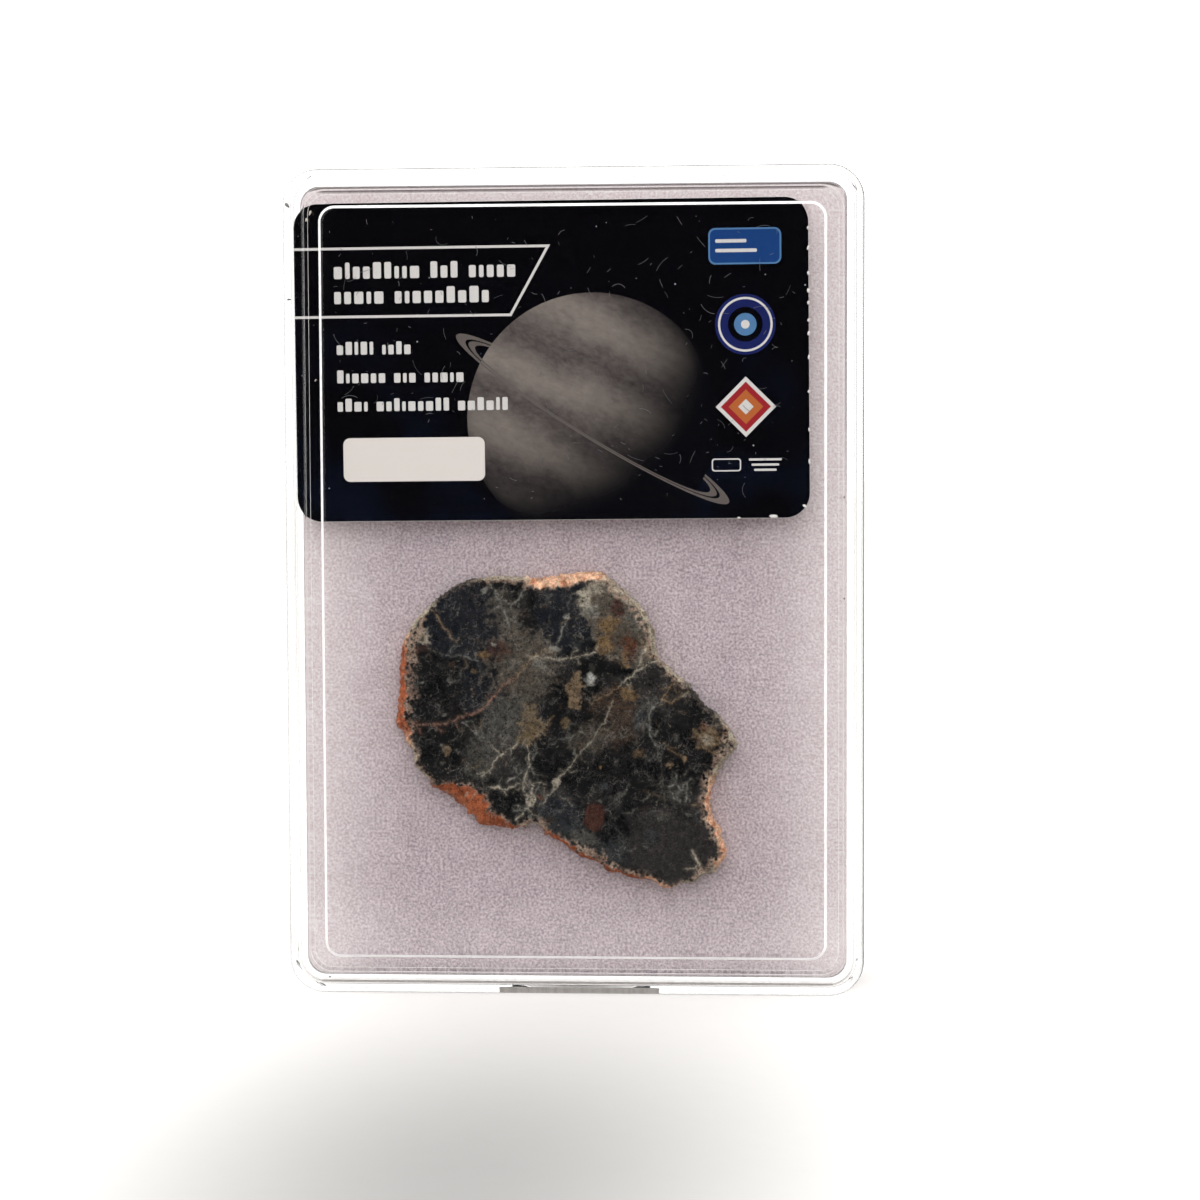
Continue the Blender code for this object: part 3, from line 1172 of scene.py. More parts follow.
@dataclass
class LabelCard:
    """The printed card, whose design is plain shapes on a starry black ground."""

    case: DisplayCase
    width: float = 59.9
    height: float = 37.0
    thick: float = 0.3
    corner: float = 2.9
    middle: Point = (-2.55, 74.15)
    askew: float = 0.006
    depth: float = 1.9
    edge_round: float = 0.035
    globe_centre: Point = (4.8, -6.8)
    globe_radius: float = 14.6
    ring_turn: float = -0.56
    ring_slant: float = 0.12

    def inks(self) -> dict[str, bpy.types.Material]:
        """The card's materials by name, the ground first."""
        centre = (self.middle[0] + self.globe_centre[0], self.middle[1] + self.globe_centre[1])
        plain = (
            Ink("pale", linear(240, 236, 233)),
            Ink("panel", linear(244, 236, 230), streak=0.05, roughness=0.5),
            Ink("blue", linear(26, 72, 140)),
            Ink("sky", linear(92, 140, 190)),
            Ink("navy", linear(30, 40, 104)),
            Ink("orange", linear(206, 112, 58)),
            Ink("red", linear(176, 42, 50)),
            Ink("dust", linear(112, 104, 100)),
        )
        made = {"ground": NightStock().material(), "stock": PaperEdge().material()}
        made["globe"] = GlobeInk(centre, self.globe_radius).material()
        made.update((ink.name, ink.material()) for ink in plain)
        return made

    def band(self) -> list[PrintedShape]:
        """An outlined band from the card's left edge, with a slanted end."""
        line = 0.3
        left, right, low, high, slant = 0.06 - self.width / 2, -4.5, 5.2, 13.4, 4.6
        outer = np.array(((left, low), (right, low), (right + slant, high), (left, high)))
        run = line * math.hypot(slant, high - low) / (high - low)
        shift = slant * line / (high - low)
        inner = np.array((
            (left, low + line),
            (right - run + shift, low + line),
            (right + slant - run - shift, high - line),
            (left, high - line),
        ))
        return [PrintedShape("pale", outer), PrintedShape("ground", inner)]

    def rows(self) -> list[PrintedShape]:
        """Rows of small plain blocks where a card has its lines."""
        draw = random.Random(5)
        shapes = []
        for x, z, height, lengths in (
            (-25.2, 10.7, 1.9, (9, 3, 5)),
            (-25.2, 7.8, 1.9, (5, 9)),
            (-25.0, 1.7, 1.5, (5, 4)),
            (-25.0, -1.6, 1.5, (6, 3, 5)),
            (-25.0, -4.9, 1.5, (4, 9, 6)),
        ):
            for blocks in lengths:
                for _ in range(blocks):
                    wide = height * draw.choice((0.28, 0.42, 0.5, 0.56))
                    tall = height * draw.choice((0.74, 0.74, 0.74, 1.0))
                    block = rounded_box(x + wide / 2, z + (tall - height) / 2, wide, tall, height * 0.1)
                    shapes.append(PrintedShape("pale", block))
                    x += wide + height * 0.2
                x += height * 0.5
        return shapes

    def ring(self, outer: float, inner: float, start: float, end: float) -> PrintedShape:
        """A part of the globe's flat ring, seen at a slant.

        Args:
            outer: Half its length.
            inner: Half the length of its opening.
            start: The angle in degrees at which the part begins.
            end: The angle at which it ends.

        Returns:
            The printed part.
        """
        angles = np.radians(np.linspace(start, end, 60))
        reach = np.concatenate((np.full(60, outer), np.full(60, inner)))
        around = np.concatenate((angles, angles[::-1]))
        across, along = reach * np.cos(around), reach * np.sin(around) * self.ring_slant
        cos, sin = math.cos(self.ring_turn), math.sin(self.ring_turn)
        x, z = self.globe_centre
        return PrintedShape("dust", np.column_stack((x + across * cos - along * sin, z + across * sin + along * cos)))

    def globe(self) -> list[PrintedShape]:
        """A belted globe with a thin double ring around it."""
        disc = ellipse(*self.globe_centre, self.globe_radius, self.globe_radius, 0.0, 160)
        sizes = ((18.6, 17.3), (16.9, 16.0))
        behind = [self.ring(outer, inner, -2, 182) for outer, inner in sizes]
        before = [self.ring(outer, inner, 178, 362) for outer, inner in sizes]
        return [*behind, PrintedShape("globe", disc), *before]

    def emblems(self) -> list[PrintedShape]:
        """Four plain emblems down the right side."""
        x = 22.6
        shapes = [
            PrintedShape("sky", rounded_box(x, 12.9, 8.4, 4.2, 0.8)),
            PrintedShape("blue", rounded_box(x, 12.9, 8.0, 3.8, 0.65)),
            PrintedShape("pale", rounded_box(x - 1.6, 13.5, 3.6, 0.4, 0.15)),
            PrintedShape("pale", rounded_box(x - 1.0, 12.4, 4.8, 0.4, 0.15)),
        ]
        for ink, radius in (("navy", 3.5), ("pale", 3.15), ("navy", 2.9), ("ground", 2.0), ("sky", 1.3), ("pale", 0.5)):
            shapes.append(PrintedShape(ink, ellipse(x, 3.9, radius, radius)))
        for ink, reach in (("pale", 3.5), ("red", 2.9), ("orange", 2.0), ("pale", 0.9)):
            turned = np.array(((0, -reach), (reach, 0), (0, reach), (-reach, 0))) + (x, -5.6)
            shapes.append(PrintedShape(ink, turned))
        shapes.append(PrintedShape("pale", rounded_box(x - 2.3, -12.3, 3.4, 1.5, 0.35)))
        shapes.append(PrintedShape("ground", rounded_box(x - 2.3, -12.3, 3.1, 1.2, 0.25)))
        for row in range(3):
            length = 3.8 - 0.6 * row
            shapes.append(PrintedShape("pale", rounded_box(x + 2.2, -11.7 - 0.6 * row, length, 0.26, 0.1)))
        return shapes

    def panel(self) -> list[PrintedShape]:
        """The bare pale panel."""
        return [PrintedShape("panel", rounded_box(-16.1, -11.3, 16.6, 5.1, 0.8))]

    def place(self, flat: np.ndarray, depth: np.ndarray | float) -> np.ndarray:
        """Card points turned a little askew and put where the card stands."""
        cos, sin = math.cos(self.askew), math.sin(self.askew)
        x = flat[:, 0] * cos - flat[:, 1] * sin + self.middle[0]
        z = flat[:, 0] * sin + flat[:, 1] * cos + self.middle[1]
        return np.column_stack((x, np.zeros(len(flat)) + depth - self.case.depth / 2, z))

    def front_face(self, border: np.ndarray, shapes: Sequence[PrintedShape]) -> tuple[np.ndarray, list, list[str]]:
        """The front, cut along every printed outline.

        Args:
            border: The card's outline.
            shapes: The printed regions, later ones over earlier ones.

        Returns:
            Its points, its triangles and the ink of each.
        """
        points, edges = [tuple(row) for row in border.tolist()], []
        for shape in shapes:
            first, count = len(points), len(shape.outline)
            points += [tuple(row) for row in shape.outline.tolist()]
            edges += [(first + step, first + (step + 1) % count) for step in range(count)]
        made = delaunay_2d_cdt([Vector(p) for p in points], edges, [list(range(len(border)))], 1, 1e-6)
        flat = np.array([tuple(point) for point in made[0]])
        faces = [list(face) for face in made[2]]
        middles = np.array([flat[face].mean(0) for face in faces])
        kept = is_inside(middles, border)
        faces = [face for face, keep in zip(faces, kept) if keep]
        middles = middles[kept]
        inks = np.array(["ground"] * len(faces), dtype=object)
        for shape in shapes:
            inks[is_inside(middles, shape.outline)] = shape.ink
        return flat, faces, list(inks)

    def build(self) -> bpy.types.Object:
        """Builds the card: its cut-up front, its rounded edge and its back."""
        materials = self.inks()
        order = list(materials)
        border = rounded_outline(self.width / 2, self.height / 2, self.corner, 60, 16)
        inner = rounded_outline(
            self.width / 2 - self.edge_round, self.height / 2 - self.edge_round, self.corner - self.edge_round, 60, 16
        )
        shapes = self.band() + self.globe() + self.rows() + self.panel() + self.emblems()
        flat, faces, inks = self.front_face(inner, shapes)
        faces = [list(reversed(face)) if FoamSheet.faces_back(flat, face) else face for face in faces]
        slots = [order.index(ink) for ink in inks]
        loops = [self.place(inner, self.depth)]
        loops.append(self.place(border, self.depth + self.edge_round))
        loops.append(self.place(border, self.depth + self.thick))
        first = len(flat)
        edge_faces = [[first + index for index in face] for face in loft(loops)]
        last = first + 2 * len(inner)
        edge_faces.append(list(reversed(range(last, last + len(inner)))))
        points = np.vstack((self.place(flat, self.depth), *loops))
        mesh = make_mesh("card_print", points, faces + edge_faces)
        slots += [order.index("stock")] * len(edge_faces)
        mesh.polygons.foreach_set("material_index", slots)
        made = make_object("card_print", mesh, list(materials.values()))
        make_sound(mesh)
        mesh.set_sharp_from_angle(angle=0.5)
        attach(made, BODY)
        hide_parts("label_card")
        return made


class Tone(Enum):
    """Colours of the stone's pieces, as seen on the sawn face."""

    BLACK = linear(9, 10, 12)
    BLUE_BLACK = linear(22, 26, 34)
    CHARCOAL = linear(45, 42, 41)
    SLATE = linear(53, 56, 58)
    GREY = linear(84, 82, 76)
    WARM_GREY = linear(92, 84, 74)
    PALE_GREY = linear(136, 134, 126)
    CREAM = linear(180, 170, 152)
    CRUMB = linear(190, 166, 146)
    WHITE = linear(196, 196, 190)
    TAN = linear(136, 114, 88)
    OLIVE = linear(106, 90, 68)
    BROWN = linear(66, 50, 38)
    OCHRE = linear(114, 90, 60)
    UMBER = linear(126, 94, 80)
    RUST = linear(96, 60, 42)
    OXBLOOD = linear(66, 40, 33)
    TERRACOTTA = linear(172, 94, 60)
    CLAY = linear(126, 68, 45)
    SALMON = linear(226, 182, 150)


@dataclass(frozen=True)
class Spot:
    """A roundish piece in the stone: its tone, middle, half sizes, turn, edge softness and strength."""

    tone: Tone
    x: float
    z: float
    half_x: float
    half_z: float
    turn: float = 0.0
    soft: float = 0.25
    strength: float = 0.9


@dataclass(frozen=True)
class Patch:
    """A piece in the stone with an outline of its own."""

    tone: Tone
    outline: tuple[Point, ...]
    soft: float = 0.25
    strength: float = 0.9
    smooth: bool = False


@dataclass(frozen=True)
class Vein:
    """A filled crack in the stone: its tone, width, strength and the points it runs through."""

    tone: Tone
    width: float
    strength: float
    route: tuple[Point, ...]


class Skin(Enum):
    """What the stone's natural edge is covered with."""

    TERRACOTTA = "T"
    ORANGE = "O"
    PALE = "P"
    DARK = "D"


@dataclass
class StoneSlice:
    """The sawn slice: a flat lapped face full of broken pieces and veins, and a rough weathered edge."""

    case: DisplayCase
    middle: Point = (-1.0, 31.0)
    thick: float = 2.3
    depth: float = 1.9
    spacing: float = 0.125
    edge_spacing: float = 0.15
    finish: Breccia = field(default_factory=Breccia)

    # The outline in millimetres from the slice's middle, clockwise from the top: x, z, how far the
    # edge slopes out past the sawn face, how wide the crumbly rim is inside it, and the edge's skin.
    OUTLINE = (
        (-7.6, 18.0, 0.2, 0.3, "P"), (-5.3, 18.0, 0.3, 0.3, "P"), (-3.4, 17.9, 1.0, 0.2, "O"),
        (-0.6, 18.2, 1.3, 0.15, "O"), (2.0, 18.5, 0.9, 0.15, "O"), (4.0, 18.5, 0.7, 0.3, "O"),
        (5.5, 17.6, 0.2, 0.5, "P"), (7.0, 16.2, 0.2, 0.7, "P"), (9.1, 14.0, 0.3, 0.6, "P"),
        (10.1, 12.0, 0.2, 0.6, "P"), (10.4, 10.5, 0.2, 0.5, "P"), (10.8, 8.5, 0.2, 0.4, "P"),
        (11.9, 7.4, 0.2, 0.3, "P"), (13.3, 6.2, 0.2, 0.3, "P"), (14.7, 4.9, 0.2, 0.1, "D"),
        (15.9, 3.2, 0.2, 0.1, "D"), (17.3, 2.2, 0.2, 0.1, "D"), (18.6, 0.9, 0.2, 0.2, "P"),
        (19.5, -0.7, 0.3, 0.7, "P"), (20.0, -1.8, 0.3, 0.9, "P"), (19.3, -2.9, 0.3, 0.9, "P"),
        (18.2, -4.1, 0.5, 0.6, "P"), (17.7, -5.2, 0.5, 0.5, "P"), (17.1, -6.3, 0.4, 0.6, "O"),
        (16.8, -8.1, 0.4, 0.5, "O"), (17.1, -10.0, 0.5, 0.5, "O"), (17.8, -11.3, 0.4, 0.4, "O"),
        (18.2, -12.8, 0.4, 0.3, "O"), (18.8, -14.4, 0.6, 0.3, "O"), (18.3, -15.7, 0.8, 0.4, "O"),
        (17.3, -16.7, 0.6, 0.5, "P"), (15.9, -17.2, 0.4, 0.5, "P"), (15.1, -17.9, 0.3, 0.3, "P"),
        (13.7, -18.1, 0.3, 0.2, "P"), (12.1, -18.6, 0.3, 0.2, "O"), (11.0, -18.4, 0.3, 0.2, "O"),
        (9.9, -17.7, 0.4, 0.3, "O"), (8.3, -17.6, 0.5, 0.4, "T"), (6.7, -17.2, 0.5, 0.4, "T"),
        (5.0, -16.6, 0.4, 0.5, "T"), (3.8, -15.8, 0.4, 0.9, "T"), (2.8, -15.3, 0.4, 0.9, "T"),
        (1.6, -14.9, 0.4, 0.7, "T"), (0.1, -13.9, 0.4, 0.3, "T"), (-1.1, -13.1, 0.5, 0.3, "T"),
        (-2.5, -12.3, 0.5, 0.3, "T"), (-3.1, -11.4, 0.3, 0.4, "P"), (-4.2, -10.9, 0.2, 0.4, "P"),
        (-4.6, -11.4, 0.2, 0.2, "P"), (-6.3, -11.6, 0.5, 0.2, "T"), (-7.8, -11.6, 1.3, 0.3, "T"),
        (-10.3, -11.2, 2.2, 0.3, "T"), (-11.5, -10.1, 2.8, 0.3, "T"), (-12.7, -8.9, 2.6, 0.3, "T"),
        (-14.2, -7.6, 1.4, 0.3, "T"), (-15.7, -6.8, 0.4, 0.3, "T"), (-16.6, -5.5, 0.3, 0.2, "P"),
        (-17.9, -4.2, 0.3, 0.3, "P"), (-18.1, -2.6, 0.3, 0.3, "P"), (-19.1, -1.3, 0.7, 0.3, "O"),
        (-19.3, -0.1, 1.0, 0.4, "T"), (-20.1, 0.3, 1.0, 0.5, "T"), (-20.3, 1.2, 1.1, 0.8, "T"),
        (-19.9, 3.0, 0.9, 0.8, "T"), (-19.7, 4.7, 0.8, 0.8, "T"), (-19.6, 7.1, 0.7, 0.8, "T"),
        (-19.4, 9.4, 0.6, 0.9, "T"), (-19.0, 10.9, 0.3, 0.9, "O"), (-18.0, 12.4, 0.2, 0.8, "P"),
        (-16.5, 14.0, 0.2, 0.2, "P"), (-14.7, 15.7, 0.2, 0.05, "D"), (-12.9, 17.0, 0.2, 0.05, "D"),
        (-11.1, 17.7, 0.2, 0.2, "D"), (-9.4, 17.9, 0.2, 0.3, "P"),
    )

    # Broad grounds first, then the pieces that lie in them
    GROUNDS = (
        Spot(Tone.BLUE_BLACK, -11.5, 12.5, 5.0, 4.8, 0.4, 0.35),
        Spot(Tone.BLUE_BLACK, 0.2, 13.4, 3.7, 4.6, 0.0, 0.3),
        Spot(Tone.BLACK, -12.8, 4.6, 5.2, 3.9, 0.0, 0.7),
        Spot(Tone.BLUE_BLACK, -9.6, 4.6, 2.6, 3.4, 0.0, 0.8, 0.7),
        Spot(Tone.WARM_GREY, -4.8, 7.6, 4.0, 4.4, 0.3, 1.5, 0.75),
        Spot(Tone.WARM_GREY, -7.2, 13.4, 1.6, 3.6, 0.35, 1.0, 0.55),
        Spot(Tone.GREY, -7.0, 1.2, 3.3, 3.2, 0.0, 1.2, 0.65),
        Spot(Tone.GREY, -9.6, -3.2, 3.0, 2.6, 0.2, 1.0, 0.55),
        Spot(Tone.CHARCOAL, -6.8, -4.6, 2.2, 2.2, 0.0, 0.8, 0.9),
        Spot(Tone.BLACK, -14.8, -2.4, 3.0, 3.8, 0.0, 0.6, 0.9),
        Spot(Tone.BLACK, 0.4, 1.0, 3.8, 7.4, -0.4, 0.9, 0.9),
        Spot(Tone.BLACK, 3.6, 8.2, 3.9, 1.7, -0.2, 0.5, 0.9),
        Spot(Tone.BLACK, -7.2, -8.0, 2.3, 1.3, 0.2, 0.4, 0.95),
        Spot(Tone.SLATE, -0.8, -10.2, 3.0, 2.6, -0.4, 0.9, 0.75),
        Spot(Tone.BLACK, 10.2, -4.2, 7.4, 4.6, 0.1, 1.0, 0.95),
        Spot(Tone.BLACK, 13.2, 0.8, 4.2, 4.0, -0.7, 0.8, 0.85),
        Spot(Tone.CHARCOAL, 10.4, 4.8, 2.8, 2.6, -0.5, 0.8, 0.8),
        Spot(Tone.BROWN, 5.6, 1.6, 2.6, 3.2, 0.2, 1.1, 0.75),
        Spot(Tone.WARM_GREY, 3.0, -0.8, 2.6, 1.8, 0.5, 1.0, 0.45),
        Spot(Tone.SLATE, 5.4, -14.4, 2.2, 1.6, 0.0, 0.7, 0.7),
        Spot(Tone.BLACK, -1.5, -3.8, 1.7, 1.5, 0.3, 0.3, 0.95),
        Spot(Tone.BLACK, 4.3, 1.1, 0.9, 1.2, 0.0, 0.3, 0.85),
        Spot(Tone.BLACK, 15.5, 1.7, 1.8, 1.5, -0.6, 0.25, 1.0),
        Spot(Tone.BLACK, 9.6, -5.4, 2.8, 1.9, 0.2, 0.3, 1.0),
        Spot(Tone.BLACK, -14.7, -2.8, 2.2, 1.9, 0.3, 0.3, 0.95),
        Spot(Tone.BLUE_BLACK, -0.8, -9.6, 2.0, 1.6, -0.3, 0.4, 0.7),
    )

    PIECES = (
        Patch(Tone.WARM_GREY, (
            (1.2, 16.0), (3.9, 18.3), (5.5, 17.6), (7.7, 15.5), (9.2, 13.7), (10.1, 12.2),
            (10.0, 10.8), (10.8, 9.2), (9.8, 8.1), (8.9, 7.3), (8.2, 7.2), (7.1, 7.6),
            (5.9, 8.2), (4.6, 8.6), (3.7, 9.5), (3.1, 10.7), (2.8, 12.2), (1.8, 13.7),
            (1.3, 14.9),
        ), 0.3, 0.92),
        Patch(Tone.OLIVE, (
            (-4.9, 3.1), (-3.7, 3.1), (-3.2, 1.8), (-1.9, 0.7), (-3.1, -0.5),
            (-4.3, -1.6), (-6.0, -1.6), (-5.3, 0.1), (-5.3, 1.6),
        ), 0.45, 0.88),
        Patch(Tone.TAN, (
            (1.0, 6.9), (1.7, 6.7), (2.0, 5.4), (1.9, 4.2), (1.4, 2.5), (0.5, 2.7),
            (0.2, 4.3), (-0.1, 4.8), (0.5, 6.1),
        ), 0.35, 0.66),
        Patch(Tone.OXBLOOD, (
            (2.4, -8.9), (3.3, -8.5), (4.4, -8.8), (4.5, -10.2), (4.0, -11.7),
            (3.3, -11.9), (2.2, -11.2), (2.0, -10.3),
        ), 0.2, 0.97, True),
        Patch(Tone.CHARCOAL, (
            (11.5, -9.2), (12.7, -9.5), (14.2, -10.4), (15.7, -10.7), (16.4, -11.4),
            (16.9, -12.6), (17.8, -13.1), (17.8, -14.4), (16.4, -15.5), (15.4, -15.9),
            (14.3, -17.8), (12.7, -18.4), (11.2, -18.2), (10.3, -17.0), (9.7, -16.6),
            (7.6, -16.0), (7.0, -14.5), (7.6, -12.2), (9.0, -10.7), (10.3, -9.8),
        ), 0.7, 0.96, True),
        Spot(Tone.CREAM, 3.2, 16.6, 1.5, 0.9, 0.5, 0.5, 0.5),
        Spot(Tone.CREAM, 2.3, 15.4, 0.75, 1.2, 0.25, 0.25, 0.8),
        Spot(Tone.PALE_GREY, 3.0, 13.9, 0.9, 0.8, 0.0, 0.4, 0.5),
        Spot(Tone.CREAM, 6.7, 15.9, 1.9, 0.5, -0.75, 0.3, 0.85),
        Spot(Tone.OXBLOOD, 6.1, 14.2, 0.8, 1.15, 0.1, 0.25, 1.0),
        Spot(Tone.OCHRE, 5.2, 12.4, 1.15, 1.05, 0.3, 0.45, 0.95),
        Spot(Tone.OCHRE, 4.7, 10.1, 1.0, 1.1, -0.2, 0.4, 0.95),
        Spot(Tone.BROWN, 6.3, 10.8, 0.8, 1.5, 0.1, 0.5, 0.6),
        Spot(Tone.RUST, 7.5, 9.6, 0.8, 1.5, 0.05, 0.35, 0.95),
        Spot(Tone.OXBLOOD, 7.7, 8.8, 0.6, 1.0, 0.1, 0.25, 1.0),
        Spot(Tone.OCHRE, 6.9, 8.5, 0.6, 0.8, 0.3, 0.4, 0.8),
        Spot(Tone.GREY, 8.2, 13.1, 0.9, 1.7, 0.4, 0.4, 0.7),
        Spot(Tone.TAN, 9.7, 9.5, 0.7, 1.0, 0.6, 0.3, 0.6),
        Spot(Tone.CREAM, -16.7, 10.9, 0.85, 0.95, 0.2, 0.3, 0.62),
        Spot(Tone.TAN, -16.8, 10.9, 0.42, 0.42, 0.0, 0.2, 0.8),
        Spot(Tone.BLACK, -16.65, 10.75, 0.26, 0.3, 0.0, 0.12, 0.95),
        Spot(Tone.OXBLOOD, -16.9, 9.6, 0.75, 0.4, 0.0, 0.3, 0.8),
        Spot(Tone.OCHRE, -9.6, 8.9, 0.6, 0.55, 0.0, 0.3, 0.8),
        Spot(Tone.OLIVE, -10.7, 7.0, 0.3, 0.35, 0.0, 0.2, 0.8),
        Spot(Tone.OXBLOOD, -7.8, 9.5, 1.35, 0.95, 0.3, 0.6, 0.72),
        Spot(Tone.PALE_GREY, -8.3, 10.1, 0.35, 0.2, 0.2, 0.15, 0.8),
        Spot(Tone.PALE_GREY, 2.9, 6.1, 0.7, 0.62, 0.0, 0.3, 0.9),
        Spot(Tone.WHITE, 3.0, 6.2, 0.35, 0.35, 0.0, 0.3, 0.7),
        Spot(Tone.OCHRE, 7.5, 4.2, 0.95, 0.9, 0.1, 0.5, 0.75),
        Spot(Tone.BROWN, 7.2, 2.1, 0.75, 1.3, 0.0, 0.4, 0.85),
        Spot(Tone.SLATE, 8.9, 1.2, 0.95, 1.4, 0.0, 0.5, 0.75),
        Spot(Tone.GREY, 9.7, 2.9, 1.0, 0.6, 0.4, 0.5, 0.6),
        Spot(Tone.OLIVE, 0.1, 1.2, 0.45, 0.7, -0.2, 0.25, 0.8),
        Spot(Tone.TAN, 16.7, -0.8, 1.5, 1.45, 0.3, 0.9, 0.62),
        Spot(Tone.CREAM, 16.6, -1.0, 0.55, 0.6, 0.0, 0.5, 0.5),
        Spot(Tone.RUST, 16.0, 0.5, 0.5, 0.35, 0.0, 0.3, 0.85),
        Spot(Tone.BLACK, 5.6, -9.8, 0.55, 0.6, 0.0, 0.2, 0.95),
        Spot(Tone.OCHRE, 4.0, -4.2, 0.24, 0.24, 0.0, 0.12, 0.95),
        Spot(Tone.SLATE, 4.4, -6.5, 0.4, 0.35, 0.0, 0.2, 0.9),
        Spot(Tone.TAN, 13.9, -3.3, 0.26, 0.3, 0.0, 0.15, 0.85),
        Spot(Tone.OCHRE, 8.5, -2.7, 0.6, 0.4, 0.3, 0.3, 0.6),
        Spot(Tone.TAN, 12.1, -4.0, 0.3, 0.2, 0.0, 0.15, 0.6),
        Spot(Tone.GREY, 2.0, -12.5, 1.3, 0.8, -0.3, 0.5, 0.75),
        Spot(Tone.GREY, 11.3, -9.9, 0.75, 0.5, 0.0, 0.3, 0.7),
        Spot(Tone.GREY, 12.9, -7.2, 1.6, 1.3, 0.2, 1.0, 0.4),
        Spot(Tone.SLATE, 9.9, -12.6, 0.7, 0.9, 0.2, 0.4, 0.55),
        Spot(Tone.RUST, -3.1, -7.7, 0.35, 0.35, 0.0, 0.2, 0.85),
        Spot(Tone.CREAM, -4.1, -8.3, 0.34, 0.72, -0.1, 0.25, 0.8),
        Spot(Tone.CREAM, -1.1, -6.1, 0.28, 0.45, -0.3, 0.25, 0.65),
        Spot(Tone.PALE_GREY, -1.3, 9.7, 0.5, 0.4, -0.3, 0.3, 0.65),
        Spot(Tone.PALE_GREY, -3.2, 7.9, 0.9, 0.7, 0.4, 0.6, 0.55),
        Spot(Tone.PALE_GREY, 0.3, 13.3, 0.32, 0.42, 0.0, 0.2, 0.8),
        Spot(Tone.TAN, -14.1, -2.4, 0.45, 0.55, 0.0, 0.2, 0.6),
        Spot(Tone.PALE_GREY, -9.5, 16.4, 0.4, 0.3, 0.5, 0.2, 0.7),
    )

